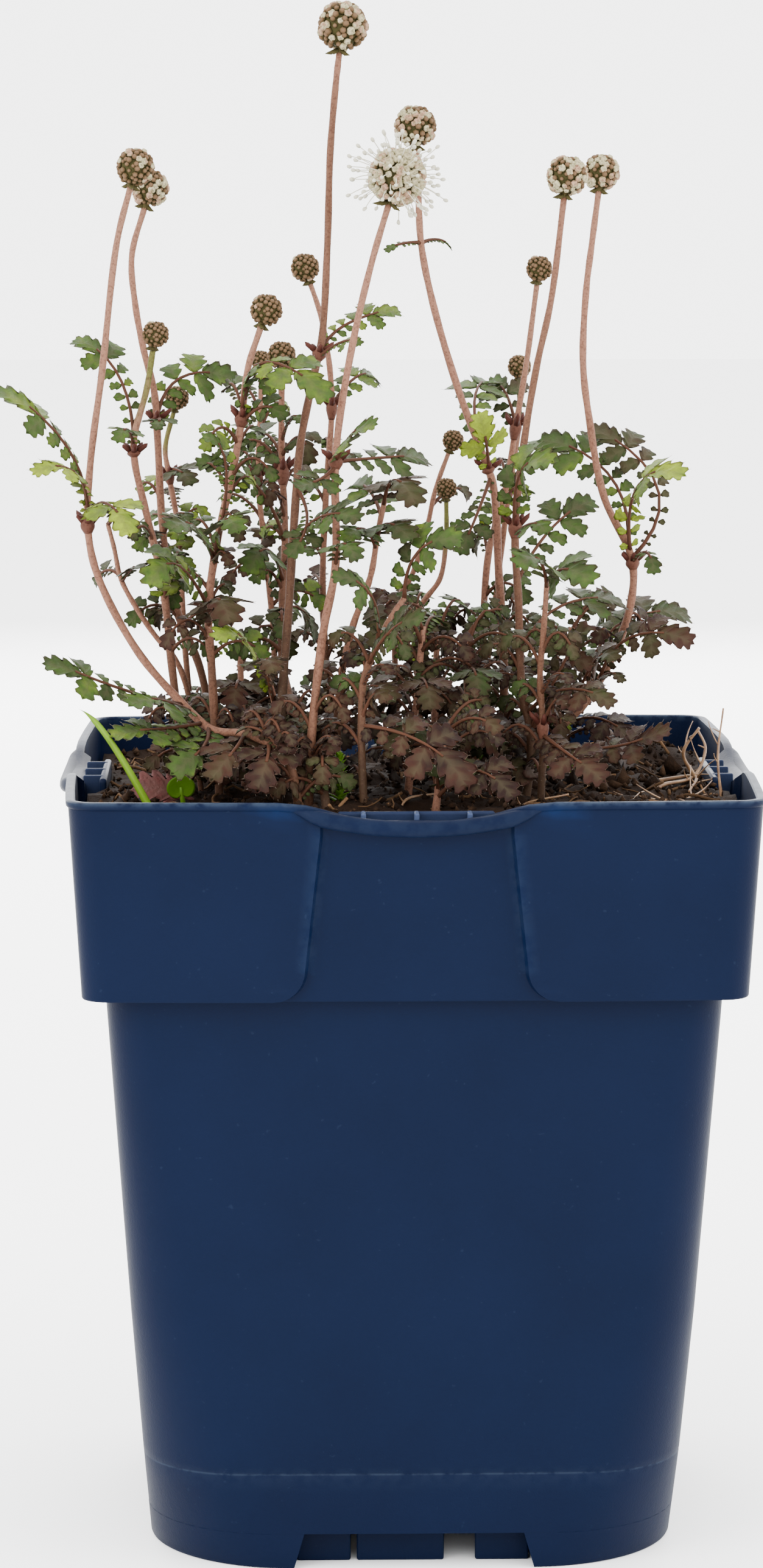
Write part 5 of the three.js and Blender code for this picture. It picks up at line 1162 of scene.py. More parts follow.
# %% Which leaves are bright, and which stems are dark or olive
BRIGHT = {
    ("far_left", 1): 0.95, ("far_left", 2): 0.95, ("mid_left", 5): 0.74, ("left_pale", 0): 0.66,
    ("centre_pink", 0): 1.0, ("far_right", 1): 0.92, ("rosette_leafy", 0): 0.88, ("far_left", 3): 0.6,
    ("far_left", 4): 0.62, ("far_left", 5): 0.66, ("far_left", 6): 0.6, ("mid_left", 3): 0.7,
    ("front_leafy", 0): 0.6, ("open_flower", 1): 0.5, ("right_white", 0): 0.66, ("left_short", 0): 0.66,
}
DARK_STEMS = ("right_leafy", "right_white", "front_leafy", "mid_leafy", "tall_centre")
OLIVE_STEMS = ("back_green", "left_small", "left_short", "right_hidden")


def leaf_tone_and_shade(name, i, tip):
    """Given for a few leaves; for the rest it rises with the tip's height, with scatter; the low, dark end is
    partly painted shade.
    """
    if (name, i) in BRIGHT:
        return BRIGHT[name, i]
    rise = np.interp(tip[2], [128, 145, 160, 200], [0.08, 0.3, 0.5, 0.6])
    return float(np.clip(rise + 0.2 * scatter(len(name) + i, i + 3), 0, 0.8))


print(len(BRIGHT), "leaves have a tone of their own")

# %% Stems with hairs and sheaths
SHEATH_LOBES, HAIRS_A_POINT = 5, 26


def stem_patches(name, grown):
    """The main tube, slightly knobbly, hairs a golden angle apart, and a lobed sheath where leaves start."""
    route, radius = grown["route"], grown["radius"]
    places = np.linspace(0, len(route) - 1, 12 * len(route))
    path = on_route(route, places)
    rise = places / places[-1]
    size = radius * (0.88 - 0.27 * rise) * (1 + 0.05 * np.sin(places * 9.0 + len(name)))
    young = np.interp(rise, [0, 0.25, 0.75, 1], [0.18, 0.5, 0.66, 0.82])
    young = young + (0.3 * smooth((rise - 0.55) / 0.3) if name in OLIVE_STEMS else 0)
    young = young - (0.3 if name in DARK_STEMS else 0.12 * abs(scatter(len(route), len(name))))
    made = [tube(path, size, 10, young=young, joint=0.0)]
    count = HAIRS_A_POINT * len(route)
    spots = np.arange(count) / count * (len(path) - 2)
    before = spots.astype(int)
    here = path[before] + (spots % 1)[:, None] * (path[before + 1] - path[before])
    around = GOLDEN_ANGLE * np.arange(count)
    out = np.column_stack([np.cos(around), np.sin(around), 0.35 * np.sin(3 * around)])
    thick = np.interp(spots, np.arange(len(size)), size)[:, None]
    made.append(hairs(here + 0.9 * thick * unit(out), out + [0, 0, 0.3], 0.42, 0.03))
    shoot = SHOOTS.get(name)
    if shoot and shoot["sheath"] is not None:
        near = shoot["sheath"] + np.linspace(-0.16, 0.14, 9)
        sleeve = on_route(route, np.clip(near, 0, len(route) - 1))
        span = np.linalg.norm(sleeve[-1] - sleeve[0])
        swell = radius * (0.8 + 0.62 * np.sin(np.linspace(0, math.pi, 9)) ** 1.3)
        made.append(tube(sleeve, swell, 12, young=0.4, joint=0.55))
        for lobe in range(SHEATH_LOBES):
            angle = GOLDEN_ANGLE * lobe
            out = np.array([math.cos(angle), math.sin(angle), 0.5])
            foot = sleeve[5] + out * radius * 0.9
            tip = foot + unit(out) * (1.5 + 0.5 * scatter(lobe, len(name))) + [0, 0, min(span, 4) * 0.3]
            bent = (foot * 0.4 + tip * 0.6) + out * 0.3
            made.append(tube([foot, bent, tip], [0.55, 0.4, 0.06], 5, young=0.4, joint=0.9))
    return made


print("hairs on a stem of eight points:", HAIRS_A_POINT * 8)

# %% More small leaves: lowest and highest point on the stem, and how many
CLUSTERS = {"mid_left": (146, 190, 16), "left_pale": (150, 172, 6), "left_short": (146, 168, 6),
            "mid_leafy": (146, 184, 10), "mid_back": (150, 186, 10), "left_small": (146, 170, 5),
            "centre_back": (150, 180, 6), "right_back": (150, 176, 5)}
INSIDE_RIM = 47


def filling(name, grown, cluster=None):
    """More small leaves along a stretch of stem, a golden angle apart, which close the mass."""
    route, count = grown["route"], 15 if name in TUFTS else 8
    heights = on_route(route, np.linspace(0, len(route) - 1, 60))
    foot, top = 126, np.interp(heights[:, 0], [-22, -8], [136, 158 if name in TUFTS else 150])
    if cluster:
        foot, top, count = cluster
    low = heights[(heights[:, 2] > foot) & (heights[:, 2] < top)]
    made = []
    for i in range(count if len(low) else 0):
        start = low[int((i + 0.5) / count * len(low))]
        angle = GOLDEN_ANGLE * (i + len(name)) + scatter(i, len(name))
        out = (9.5 if name in TUFTS else 7.5) * (1 + 0.25 * scatter(i, 6))
        side = np.array([math.cos(angle), math.sin(angle), 0])
        tip = start + side * out + [0, 0, 1.5 + 2.5 * scatter(i, 7)]
        tip[:2] = np.clip(tip[:2], -INSIDE_RIM, INSIDE_RIM)
        tip[2] = max(tip[2], soil_height(tip[0], tip[1]) + 3)
        middle = (start + tip) / 2 + [0, 0, 3.2 + scatter(i, 8)]
        sky = facing_light(math.radians(TILT_TO_LIGHT + 25 * scatter(i, 9)))
        green = 0.3 if (i * 7 + len(name)) % 4 == 0 else 0.0
        tone = float(np.clip(leaf_tone_and_shade(name, 20 + i, tip) + green + 0.16 * scatter(i, 12), 0.02, 0.8))
        made += leaf_patches((start, middle, tip), 2, 3.9 + 0.9 * scatter(i, 10), sky, tone, i)
    return made


print(len(CLUSTERS), "stems have a cluster of small leaves")

# %% Shoots and low growth
leaf_triangles = 0
for name, grown in growth.items():
    piece("stem_" + name, stem_patches(name, grown), stem_material, [name])
    patches = []
    for placed, pairs, size, sky, i in grown["leaves"]:
        tone = leaf_tone_and_shade(name, i, placed[2])
        patches += leaf_patches(placed, pairs, size, sky, tone, i + len(name))
    patches += filling(name, grown)
    if name in CLUSTERS:
        patches += filling(name, grown, CLUSTERS[name])
    if patches:
        slot = "low_foliage" if name in TUFTS else "stem_and_leaf"
        made = piece("leaves_" + name, patches, leaf_material, [name])
        leaf_triangles += len(made.data.polygons)
print("leaf triangles:", leaf_triangles)

# %% [markdown]
# ## Flower heads are balls of buds
# A head is about ninety to a hundred and fifty buds packed over a ball. Directions that are a golden angle
# apart, at even steps of height, spread them evenly, as seeds do.
# Each bud is a small dome, brown and rough, and some show a
# cream or pink cup at the tip. In the open flower the cups have spread, and long white threads carry pollen.

# %% Buds on a ball
def bud(at, out, length, width, tip, sides=6, petals=0.0):
    """Rings along a direction: radius rises to the width at a third of the height and shrinks to a blunt
    tip. Petals make every other corner of the upper rings stand in, and sink the middle to a cup."""
    side = unit(np.cross(out, [0.31, 0.17, 0.93]))
    over_side = np.cross(out, side)
    angle = 2 * math.pi * np.arange(sides) / sides
    wheel = np.cos(angle)[:, None] * side + np.sin(angle)[:, None] * over_side
    star = (1 - petals * (np.arange(sides) % 2))[:, None]
    shape = [(-0.35, 0.0), (-0.35, 0.55), (0.3, 1.0), (0.72, 0.8 + 0.2 * petals),
             (0.95, 0.42 + 0.3 * petals), (1 - petals, 0.0)]
    rows = [at + out * (h * length) + wheel * (r * width) * (star if h > 0.5 else 1) for h, r in shape]
    high = np.repeat([0, 0, 0.3, 0.75, 1, 1], sides)
    return closed(rows, high=high, tip=tip, thread=0.0)


print("a bud has", len(bud(np.zeros(3), np.array([0.0, 0, 1]), 1, 1, 0)[0]), "points")

# %% A head of buds
HEAD_SHRINK, CORE_SHARE = 0.91, 0.8
BALL_ROWS, BALL_COLUMNS = 13, 18
PALE_SHARES = {"open_flower": 0.9, "centre_pink": 0.42, "right_white": 0.5, "far_right": 0.5,
               "left_pale": 0.36, "tall_centre": 0.3, "far_left": 0.16}
FEW_PALE = 0.03


def ball(centre, radius):
    """Points of a ball: centre plus radius times (sin cos, sin sin, cos) of two angles."""
    ring = np.linspace(0, math.pi, BALL_ROWS)
    turn = np.linspace(0, 2 * math.pi, BALL_COLUMNS, endpoint=False)
    round_way = [np.sin(ring)[:, None] * np.cos(turn), np.sin(ring)[:, None] * np.sin(turn)]
    return centre + np.stack([*round_way, np.repeat(np.cos(ring)[:, None], BALL_COLUMNS, 1)], -1) * radius


def head_patches(name, centre, radius, stalk_end):
    """A core, buds at golden-angle directions except where the stalk comes in, and small bracts below."""
    centre = np.asarray(centre, float)
    down = unit(np.asarray(stalk_end) - centre)
    neck_end = centre + down * (np.linalg.norm(np.asarray(stalk_end) - centre) + 0.3)
    radius = HEAD_SHRINK * radius
    count = int(np.interp(radius, [2, 5], [90, 170]))
    k = np.arange(count) + 0.5
    z = 1 - 2 * k / count
    around = GOLDEN_ANGLE * k
    flat = np.sqrt(1 - z**2)
    ways = np.stack([flat * np.cos(around), flat * np.sin(around), z], -1)
    spacing = radius * math.sqrt(4 * math.pi / count)
    core = CORE_SHARE * radius
    made = [closed(ball(centre, core), high=0.12, tip=0.0, thread=0.0)]
    neck = [centre + down * core * 0.9, neck_end]
    made.append(tube(neck, [0.75, 0.5], 8, high=0.3, tip=0.0, thread=0.0))
    pale = PALE_SHARES.get(name, FEW_PALE)
    for i, out in enumerate(ways):
        if out @ down > 0.93:
            continue
        lit = (scatter(i, count) + 1) / 2 < pale
        out = unit(out + 0.07 * np.array([scatter(i, 15), scatter(i, 16), scatter(i, 17)]))
        size = 1.0 + 0.2 * scatter(i, 5)
        length = (radius - core) * size * (1.12 if lit else 0.94)
        wide = spacing * (0.56 if lit else 0.44) * size
        sides, petals = (8, 0.45) if lit else (6, 0.0)
        made.append(bud(centre + out * core, out, length, wide, float(lit), sides, petals))
    for i in range(4):
        angle = GOLDEN_ANGLE * i + len(name)
        side = unit(np.cross(down, [math.cos(angle), math.sin(angle), 0.2]))
        foot = centre + down * radius * 0.86
        tip = foot + side * radius * 0.55 + down * radius * 0.25
        bract = [foot, foot * 0.4 + tip * 0.6 + down * 0.2, tip]
        made.append(tube(bract, [0.42, 0.36, 0.05], 5, high=0.2, tip=0.0, thread=0.0))
    return made


print(len(PALE_SHARES), "heads have many pale cups")

# %% Threads of the open flower
THREADS, THREAD_REACH = 120, 8.6


def threads(centre, radius, stalk_end):
    """White threads from between the cups, bent a little by their weight, each with a cream bead."""
    centre = np.asarray(centre, float)
    down = unit(np.asarray(stalk_end) - centre)
    made = []
    for i in range(THREADS):
        z = 1 - 2 * (i + 0.5) / THREADS
        angle = GOLDEN_ANGLE * i + 0.4
        flat = math.sqrt(1 - z * z)
        out = np.array([flat * math.cos(angle), flat * math.sin(angle), z])
        if out @ down > 0.8:
            continue
        reach = THREAD_REACH - 0.5 - 2.4 * abs(scatter(i, 9))
        t = np.linspace(0, 1, 5)[:, None]
        bend = np.array([scatter(i, 2), scatter(i, 3), scatter(i, 4) - 0.4]) * 0.7
        path = centre + out * (radius * 0.8 + (reach - radius * 0.8) * t) + bend * t**2
        made.append(tube(path, 0.07, 4, high=1.0, tip=1.0, thread=1.0))
        made.append(bud(path[-1] - out * 0.15, out, 0.62, 0.34, 1.0, 5))
    return [(points, faces, {**marks, "thread": np.ones(len(points))}) for points, faces, marks in made]


print("threads tried:", THREADS)


# %% Bud finish and the heads
def bud_skin():
    """Brown by height and grain, cream or pink cups at the lit tips with green in them, and pale threads."""
    finish = Finish("bud_skin", 0.7, Specular_IOR_Level=0.05)
    high, tip, grain = finish.mark("high"), finish.mark("tip"), finish.noise(2.2, 3, 0.7)
    warm = finish.noise(0.35, 2)
    brown = finish.ramp(high * 0.8 + grain * 0.3, (0.0, (0.040, 0.046, 0.012)), (0.35, (0.085, 0.070, 0.024)),
                        (0.65, (0.14, 0.085, 0.040)), (1.0, (0.23, 0.135, 0.075)))
    cup = finish.blend(warm.above(0.56, 0.06) * 0.8, (0.78, 0.68, 0.42), (0.62, 0.32, 0.22))
    cup = finish.blend(grain.above(0.44, 0.1) * -0.6 + 0.6, cup, (0.20, 0.22, 0.06))
    colour = finish.blend(tip * high.above(0.38, 0.14), brown, cup)
    colour = finish.blend(finish.mark("thread"), colour, (0.95, 0.90, 0.70))
    return finish.wear(colour, 0.55 + grain * 0.3, grain, 0.15)


bud_material = bud_skin()
for name, shoot in SHOOTS.items():
    if not shoot["head"]:
        continue
    centre, radius = shoot["head"]
    end = full_route(shoot)[-1]
    patches = head_patches(name, centre, radius, end)
    if name == "open_flower":
        patches += threads(centre, radius, end)
    made = piece("flowers_" + name, patches, bud_material, ["head_" + name])
print("buds and threads made, the open flower has", len(made.data.polygons), "triangles or more")

# %% [markdown]
# ## Soil: a lumpy top and thousands of crumbs
# The soil fills the pot to a little under the rim, lower at the back. Its top follows the plain soil's
# height, with finer lumps of noise, and stays behind the tongue in each scoop. Crumbs of peat and bits of
# fibre lie on it, half sunk, so it never looks smooth, and larger clods lie in the right corner.

# %% Soil body
rng = np.random.default_rng(11)
WAVES = 40
BUMPS = rng.normal(size=(WAVES, 2)) * rng.uniform(0.3, 2.0, (WAVES, 1))
PHASES = rng.uniform(0, 2 * math.pi, WAVES)
TONGUE_INSIDE, PAST_TONGUE, TONGUE_HALF, TONGUE_BLEND = 50.15, 2.6, 13, 1.4


def rough(x, y):
    """Forty waves of random direction, the longer ones higher, for small lumps in the soil."""
    wave = np.sin(x[..., None] * BUMPS[:, 0] + y[..., None] * BUMPS[:, 1] + PHASES)
    return (wave * 0.16 / (0.4 + np.linalg.norm(BUMPS, axis=1))).sum(-1)


def behind_tongues(x, y):
    """Points between a tongue and its lip are moved in behind the tongue; the rest stay."""
    far = np.maximum(np.abs(x), np.abs(y))
    side = np.minimum(np.abs(x), np.abs(y))
    reach = TONGUE_INSIDE + PAST_TONGUE * smooth((side - TONGUE_HALF) / TONGUE_BLEND)
    share = np.minimum(1, reach / np.maximum(far, 1e-6))
    share_x, share_y = np.where(np.abs(x) == far, share, 1), np.where(np.abs(y) == far, share, 1)
    return x * share_x, y * share_y


def soil_rows():
    """Rings from the middle out along the lumpy top, then down the wall and in over the floor."""
    rows = []
    rim, _, _ = square_ring(52.6, 3.0, 1.1, 26)
    top_x, top_y = behind_tongues(rim[:, 0], rim[:, 1])
    for share in np.linspace(0, 1, 46) ** 0.8:
        x, y = top_x * share, top_y * share
        z = soil_height(x, y) + rough(x, y) * min(1, (1 - share) * 6)
        rows.append(np.column_stack([x, y, z]))
    rows.append(np.column_stack([top_x, top_y, np.full(len(rim), LEDGE)]))
    rows.append(np.column_stack([rim, np.full(len(rim), LEDGE)]))
    for z in (LEDGE, 119, 90, 40, FLOOR_TOP + 0.3):
        half, corner, bow = level(BODY_LEVELS, min(z, 120.7))
        xy, _, _ = square_ring(half - 1.5, max(corner - 1.2, 1), bow, 24)
        rows.append(np.column_stack([xy, np.full(len(xy), z)]))
    rows.append(rows[-1] * [0, 0, 1])
    return rows


print("soil:", len(soil_rows()), "rings")

# %% Crumbs and fibres
TONGUE_MARGIN = 1.016
FIBRE_REACH = 49.6


def crumbs(count, low, high, corner=(-51, -51), far_corner=(51, 51)):
    """Lumps of eight faces between two corners, stretched and turned at random, half sunk in the soil."""
    base = np.array([[1, 0, 0], [-1, 0, 0], [0, 1, 0], [0, -1, 0], [0, 0, 1], [0, 0, -1]], float)
    faces = np.array([[0, 2, 4], [2, 1, 4], [1, 3, 4], [3, 0, 4], [2, 0, 5], [1, 2, 5], [3, 1, 5], [0, 3, 5]])
    xy = rng.uniform(corner, far_corner, (count, 2))
    wider = xy * TONGUE_MARGIN
    xy = np.column_stack(behind_tongues(wider[:, 0], wider[:, 1])) / TONGUE_MARGIN
    size = low + (high - low) * rng.random((count, 1, 1)) ** 2.5
    stretch = rng.uniform(0.55, 1.35, (count, 1, 3))
    dent = rng.normal(size=(count, 6, 3))
    shape = base[None] * size * stretch + dent * size * 0.16
    turn = rng.uniform(0, 2 * math.pi, count)
    cos, sin = np.cos(turn)[:, None], np.sin(turn)[:, None]
    x = shape[..., 0] * cos - shape[..., 1] * sin
    y = shape[..., 0] * sin + shape[..., 1] * cos
    z = soil_height(xy[:, 0], xy[:, 1]) + rough(xy[:, 0], xy[:, 1]) + 0.25 * size[:, 0, 0]
    points = np.stack([x + xy[:, :1], y + xy[:, 1:], shape[..., 2] + z[:, None]], -1)
    all_faces = (faces[None] + 6 * np.arange(count)[:, None, None]).reshape(-1, 3)
    shade = np.repeat(rng.random(count), 6)
    return patch(points.reshape(-1, 3), all_faces, shade=shade, fibre=0.0)


def fibres(count):
    """Thin bits of root and bark: short bent tubes lying on the soil."""
    made = []
    for i in range(count):
        x, y = rng.uniform(-49, 49, 2)
        way = rng.uniform(0, 2 * math.pi)
        length = rng.uniform(2.5, 9) * (1.3 if x > 20 else 1)
        t = np.linspace(-0.5, 0.5, 6)
        side = rng.uniform(-0.3, 0.3) * length
        px = x + math.cos(way) * length * t - math.sin(way) * side * t**2 * 4
        py = y + math.sin(way) * length * t + math.cos(way) * side * t**2 * 4
        px, py = np.clip(px, -FIBRE_REACH, FIBRE_REACH), np.clip(py, -FIBRE_REACH, FIBRE_REACH)
        lift = rng.uniform(0.1, 0.6) + rng.uniform(-1, 2.4) * (t + 0.5) * (rng.random() < 0.4)
        path = np.column_stack([px, py, soil_height(px, py) + rough(px, py) + lift])
        made.append(tube(path, rng.uniform(0.1, 0.3), 5, facing=(0.1, 0.2, 1), shade=rng.random(), fibre=1.0))
    return made


print("fibres stay within", FIBRE_REACH, "mm of the middle")


# %% Peat, and the soil as a piece
def peat():
    """Dark brown by crumb and grain, and straw brown on the fibres."""
    finish = Finish("peat", 0.95, Specular_IOR_Level=0.03)
    shade, grain = finish.mark("shade"), finish.noise(0.9, 4, 0.7)
    dark = finish.ramp(
        shade * 0.5 + grain * 0.6, (0.15, (0.008, 0.005, 0.0035)), (0.55, (0.024, 0.013, 0.008)),
        (0.85, (0.066, 0.036, 0.020)), (1.0, (0.14, 0.078, 0.042)),
    )
    straw = finish.blend(shade, (0.035, 0.018, 0.009), (0.20, 0.11, 0.055))
    colour = finish.blend(finish.mark("fibre"), dark, straw)
    return finish.wear(colour, 0.8 + grain * 0.15, grain, 0.4)


soil_body = closed(soil_rows(), shade=0.35, fibre=0.0)
clods = crumbs(240, 0.7, 2.3, (16, -20), (47, 46))
fine_crumbs = crumbs(5200, 0.14, 0.85)
soil = piece("dressed_soil", [soil_body, clods, fine_crumbs, *fibres(170)], peat(), ["soil"])
print("soil triangles:", len(soil.data.polygons))

# %% [markdown]
# ## Weeds, straw and moss
# A pot from a nursery carries small guests: a grass blade, a seedling with one kidney-shaped leaf, two mossy
# sprigs, a patch of moss, dry straw and roots, and a dead leaf or two. Each follows the plain piece's route.
# A route here gives heights over the soil, and each straw has its radius and one or more routes.

# %% Straw, dry grass and dry roots
STRAWS = {
    "straw_long": (0.32, [[[10, -3, -1.5], [11, -2, 1], [16, 4, 1.8], [22, 9.5, 2.2]]]),
    "straw_front": (0.28, [[[16.5, -37.5, -1.5], [17.5, -38.5, 0.8], [24.5, -43, 1.6]]]),
    "straw_middle": (0.28, [[[-2.5, -39, -1.5], [-1.5, -38, 0.8], [4.5, -31, 2]]]),
    "dry_grass": (0.26, [[[50.8, -26, -1.5], [50, -25.5, 7], [51, -23.5, 15]]]),
    "dry_roots": (0.36, [
        [[39.5, -21, -1.5], [41, -20, 1], [47, -16, 2], [49, -14, 7], [48, -10.5, 10.5]],
        [[40, -13, 1.4], [47, -16, 2], [45.5, -24, 1.6]], [[47, -16, 2], [45, -18, 6], [47.5, -19, 10]],
    ]),
}


def on_soil(route):
    """Heights over the soil become heights in the frame."""
    route = np.asarray(route, float)
    return route + np.column_stack([route[:, :2] * 0, soil_height(route[:, 0], route[:, 1])])


def dry_straw():
    """Tan to pale straw in streaks, with fine grain."""
    finish = Finish("dry_straw", 0.6)
    line, grain = finish.noise(0.5, 3, 0.6), finish.noise(2.5, 2)
    colour = finish.ramp(line * 0.8 + grain * 0.2, (0.25, (0.13, 0.052, 0.020)), (0.5, (0.30, 0.15, 0.060)),
                         (0.75, (0.48, 0.30, 0.15)))
    return finish.wear(colour, 0.5 + grain * 0.2, grain, 0.08)


def loose_straws(count):
    """Thin stalks strewn over the right corner, each along a bent line, some standing up."""
    made = []
    for i in range(count):
        x, y = 43 + 5.5 * scatter(i, 21), -16 + 16 * scatter(i, 22)
        way = math.pi * scatter(i, 23)
        t = np.linspace(0, 1, 8)
        length, rise = 7 + 3.5 * scatter(i, 24), max(0.6, 5.5 * scatter(i, 25))
        px = np.clip(x + math.cos(way) * length * t + scatter(i, 26) * t**2 * 2, 30, FIBRE_REACH)
        py = y + math.sin(way) * length * t + scatter(i, 27) * t**2 * 2
        path = on_soil(np.column_stack([px, py, -0.3 + rise * t]))
        made.append(tube(path, np.linspace(0.2, 0.08, 8), 5))
    return made


straw_material = dry_straw()
for name, (radius, routes) in STRAWS.items():
    made = []
    for k, route in enumerate(routes):
        places = np.linspace(0, len(route) - 1, 10 * len(route))
        path = on_route(on_soil(route), places)
        made.append(tube(path, radius * (1 - 0.45 * places / places[-1]) * (1 + 0.1 * np.sin(places * 7)), 8))
        for twig in range(3 if name in ("dry_roots", "dry_grass") else 1):
            start = path[int(len(path) * (0.45 + 0.15 * twig))]
            way = np.array([scatter(k, twig), scatter(twig, k + 4), 0.9 + 0.5 * scatter(k + 1, twig)])
            t = np.linspace(0, 1, 7)[:, None]
            hair = start + unit(way) * t * (3.5 + 2 * scatter(twig, 8)) + np.array([0.8, -0.5, -0.4]) * t**2
            hair[:, 0] = np.minimum(hair[:, 0], 51.5)
            made.append(tube(hair, np.linspace(radius * 0.5, 0.06, 7), 5))
    if name == "dry_roots":
        made += loose_straws(22)
    piece("dressed_" + name, made, straw_material, [name])
print(len(STRAWS), "dry pieces")

# %% Grass blade and seedling
def green(name, dark, light, roughness=0.5):
    """A cloudy green between two colours, with paler sunk veins."""
    finish = Finish(name, roughness, Specular_IOR_Level=0.08)
    cloud, grain = finish.noise(0.3, 3), finish.noise(2.5, 2)
    colour = finish.blend(cloud * 0.7 + grain * 0.3, dark, light)
    colour = finish.blend(finish.mark("vein") * 0.35, colour, tuple(min(1, c * 1.7 + 0.03) for c in light))
    return finish.wear(colour, roughness - 0.1 + grain * 0.2, grain * 0.5 - finish.mark("vein") * 0.5, 0.1)


GRASS = on_soil([[-41, -41, -2], [-48.5, -43.5, 12], [-53.5, -43, 16]])
SEED_TOP = on_soil([[-37.2, -37, 2.2]])[0]
SEED_RADIUS = 2.1


def grass_patches():
    """A strip whose half width shrinks to the tip, folded along a paler middle line."""
    arc = Arc(*GRASS)
    s = np.linspace(0, arc.length, 40)
    at, along = arc.at(s)
    across = unit(np.cross(along, facing_light(math.radians(60))))
    up = np.cross(across, along)
    share = np.array([-1, -0.5, 0, 0.5, 1, 0.5, 0, -0.5])
    lift = np.array([0, 0.12, 0.1, 0.12, 0, -0.12, -0.22, -0.12])
    half = 0.68 * (1 - 0.35 * s / arc.length) * smooth((arc.length - s) / 4 + 0.02)
    raised = np.minimum(half, 0.5)[:, None] * (lift * 2 + np.abs(share) * 0.4)
    level_rows = at[:, None] + across[:, None] * (half[:, None] * share)[..., None]
    rows = level_rows + up[:, None] * raised[..., None]
    ends = [np.repeat(rows[i].mean(0)[None], len(share), 0) for i in (0, -1)]
    vein = np.tile(share == 0, len(s)).astype(float)
    no_vein = np.zeros(len(share))
    return [closed([ends[0], *rows, ends[1]], vein=np.concatenate([no_vein, vein, no_vein]))]


KIDNEY_STEPS = ((0, 0.12), (0.3, 0.14), (0.6, 0.2), (0.85, 0.3), (1, 0.32), (0.97, 0.2), (0.6, 0), (0, -0.1))


def kidney_patches():
    """A round leaf, its radius 0.45 less at the notch by its stalk, cupped in steps of share and height."""
    top = SEED_TOP + [-0.4, -1.2, SEED_RADIUS * 1.8]
    up = unit(top - SEED_TOP)
    across = unit(np.cross(up, facing_light(math.radians(70))))
    face = np.cross(across, up)
    angle = np.linspace(0, 2 * math.pi, 48, endpoint=False)
    rim = SEED_RADIUS * 1.02 * (1 - 0.45 * bell(angle, math.pi, 0.3))
    middle = top - up * SEED_RADIUS
    rows = []
    for share, height in KIDNEY_STEPS:
        out = np.cos(angle)[:, None] * up + np.sin(angle)[:, None] * across * 1.08
        rows.append(middle + out * (rim * share)[:, None] + face * height)
    foot = on_soil([[-36.5, -35.5, -2]])[0]
    stalk = tube([foot, SEED_TOP, middle - up * 0.9, middle], [0.42, 0.4, 0.36, 0.25], 8, vein=0.6)
    return [closed(rows, vein=0.0), stalk]


print("grass blade and seedling:", len(stack(grass_patches() + kidney_patches())[0]), "points")


# %% Sprigs and moss
def sprig_patches(root, height, count, reach):
    """A mossy shoot: pointed leaves a golden angle apart, closer and more upright to the tip."""
    foot = on_soil([[*root, -2]])[0]
    line = foot + np.array([[0, 0, 0], [0.2, 0, height / 2], [0, 0, height]])
    made = [tube(line, [0.5, 0.5, 0.3], 8, vein=0.2)]
    for i in range(count):
        angle, rise = GOLDEN_ANGLE * i, (i + 0.5) / count
        out = np.array([math.cos(angle), math.sin(angle), 0.5 + 1.3 * rise])
        base = foot + [0, 0, height * (0.28 + 0.72 * rise)]
        t = np.linspace(0, 1, 6)[:, None]
        path = base + unit(out) * reach * (1.05 - 0.35 * rise) * t + np.array([0, 0, -0.5]) * t**2
        made.append(tube(path, [0.3, 0.5, 0.46, 0.34, 0.18, 0.03], 6, facing=out, squash=0.4, vein=0.1))
    return made


def moss_patches(centre, radius, count):
    """A low dome under hundreds of short pointed leaves."""
    middle = on_soil([[*centre, 0]])[0]
    turn = np.linspace(0, 2 * math.pi, 24, endpoint=False)
    ring = np.column_stack([np.cos(turn), np.sin(turn), np.zeros(24)])
    dome = ((0, -1), (0.9, -1), (1, 0.1), (0.8, 0.9), (0.4, 1.4), (0, 1.5))
    made = [closed([middle + ring * (radius * share) + [0, 0, z] for share, z in dome], vein=0.0)]
    for i in range(count):
        angle, out = GOLDEN_ANGLE * i, radius * math.sqrt((i + 0.5) / count)
        base = middle + [out * math.cos(angle), out * math.sin(angle), 1.3 * (1 - (out / radius) ** 2)]
        lean_x = math.cos(angle) * 0.5 * out / radius + 0.2 * scatter(i, 1)
        lean_y = math.sin(angle) * 0.5 * out / radius + 0.2 * scatter(i, 2)
        lean = np.array([lean_x, lean_y, 1])
        tip = base + unit(lean) * (1.4 + 0.7 * scatter(i, 3))
        made.append(tube([base, (base + tip) / 2, tip], [0.2, 0.26, 0.03], 4, vein=0.0))
    return made


grass_green = green("grass_green", (0.11, 0.24, 0.008), (0.22, 0.38, 0.02))
weed_green = green("weed_green", (0.055, 0.15, 0.006), (0.13, 0.26, 0.014))
moss_green = green("moss_green", (0.03, 0.08, 0.004), (0.12, 0.21, 0.014), 0.8)
piece("dressed_grass_blade", grass_patches(), grass_green, ["grass_blade"])
piece("dressed_seedling", kidney_patches(), weed_green, ["seedling"])
front_sprig, right_sprig = sprig_patches((-12, -39.5), 11, 34, 2.9), sprig_patches((13.2, 5.5), 7.6, 26, 2.3)
piece("dressed_sprig_front", front_sprig, weed_green, ["sprig_front"])
piece("dressed_sprig_right", right_sprig, weed_green, ["sprig_right"])
piece("dressed_moss_patch", moss_patches((25, 12.5), 3.5, 160), moss_green, ["moss_patch"])
print("green guests made")

# %% Dead leaves
DEAD_LEAVES = {
    "dead_leaf": ([[32, 12, 1.3], [36, 13, 4], [40.5, 14, 1.5]], (0.022, 0.010, 0.007)),
    "red_leaf": ([[-35.5, -31.5, 0.1], [-40, -32.5, 2.2], [-45, -33.5, 2.4]], (0.12, 0.012, 0.007)),
}


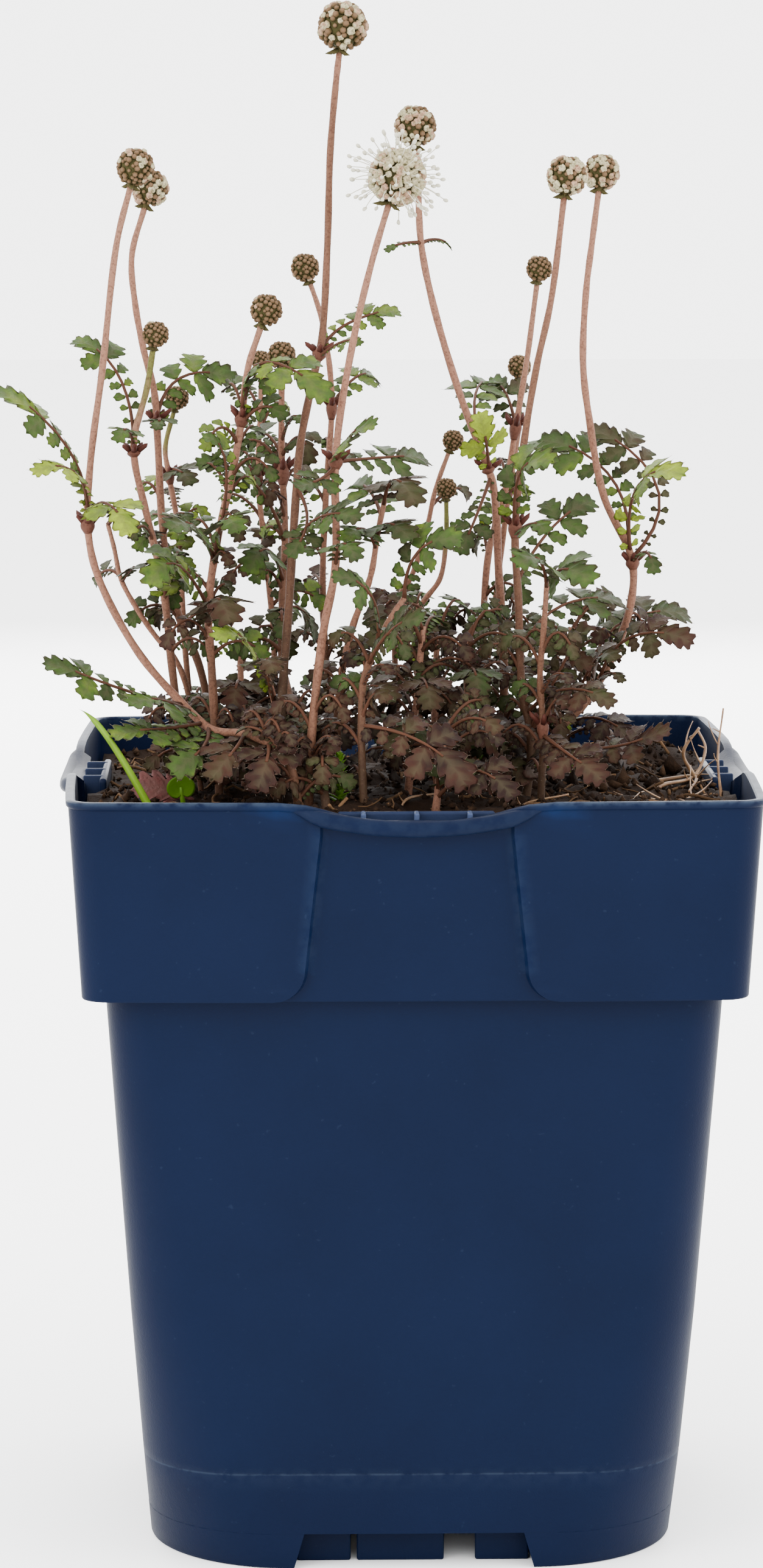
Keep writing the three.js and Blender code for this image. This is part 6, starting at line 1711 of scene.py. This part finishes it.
def withered(name, colour):
    """A cloudy dry colour, with paler veins sunk into it."""
    finish = Finish(name, 0.8)
    cloud, grain = finish.noise(0.4, 4), finish.noise(2.2, 2)
    skin = finish.blend(cloud, tuple(0.55 * c for c in colour), tuple(min(1, 1.7 * c) for c in colour))
    skin = finish.blend(finish.mark("vein") * 0.4, skin, (0.09, 0.045, 0.025))
    return finish.wear(skin, 0.7 + grain * 0.2, grain - finish.mark("vein"), 0.15)


for name, (route, colour) in DEAD_LEAVES.items():
    arc = Arc(*on_soil(route))
    size = arc.length * LONGEST_SHARE
    made = blade(arc, facing_light(math.radians(50)), arc.length - size, size, 6, 0, 0.1)
    made.append(tube(arc.at(np.linspace(0, arc.length * 0.4, 8))[0], 0.4, 6, vein=0.3))
    piece("dressed_" + name, made, withered("withered_" + name, colour), [name])
print("dead leaves made")

# %% [markdown]
# ## A pale studio
# The photograph has an even, nearly white background and soft shadows. A pale floor, a bright world and three
# large soft lamps give that: one left, one right and a stronger one behind.

# %% Floor and light
FLOOR_REACH_M, PALE, WORLD_LIGHT = 4, 0.9, 4.8
corners = [(-1, -1), (1, -1), (1, 1), (-1, 1)]
floor_points = [(x * FLOOR_REACH_M, y * FLOOR_REACH_M, 0) for x, y in corners]
floor_mesh = bpy.data.meshes.new("floor")
floor_mesh.from_pydata(floor_points, [], [(0, 1, 2, 3)])
floor = bpy.data.objects.new("floor", floor_mesh)
bpy.context.scene.collection.objects.link(floor)
paper = Finish("pale_floor", 0.9)
paper.shader.inputs["Base Color"].default_value = (PALE, PALE, PALE, 1)
floor_mesh.materials.append(paper.material)
world = bpy.data.worlds.new("studio")
bpy.context.scene.world = world
world.use_nodes = True
world.node_tree.nodes["Background"].inputs[0].default_value = (1, 1, 1, 1)
world.node_tree.nodes["Background"].inputs[1].default_value = WORLD_LIGHT


def soft_light(name, place_mm, aim_mm, size_mm, watts):
    """A square lamp at a place, turned to look at its aim."""
    data = bpy.data.lights.new(name, "AREA")
    data.shape, data.size, data.energy = "SQUARE", size_mm * MM, watts
    lamp = bpy.data.objects.new(name, data)
    bpy.context.scene.collection.objects.link(lamp)
    away = Matrix.Translation([v * MM for v in place_mm])
    turn = (Vector(aim_mm) - Vector(place_mm)).to_track_quat("-Z", "Y").to_matrix().to_4x4()
    lamp.matrix_world = away @ turn


soft_light("left_box", (-900, -700, 700), (0, 0, 130), 700, 16)
soft_light("right_box", (1000, -500, 600), (0, 0, 130), 700, 10)
soft_light("back_box", (0, 1100, 700), (0, 0, 160), 1200, 30)
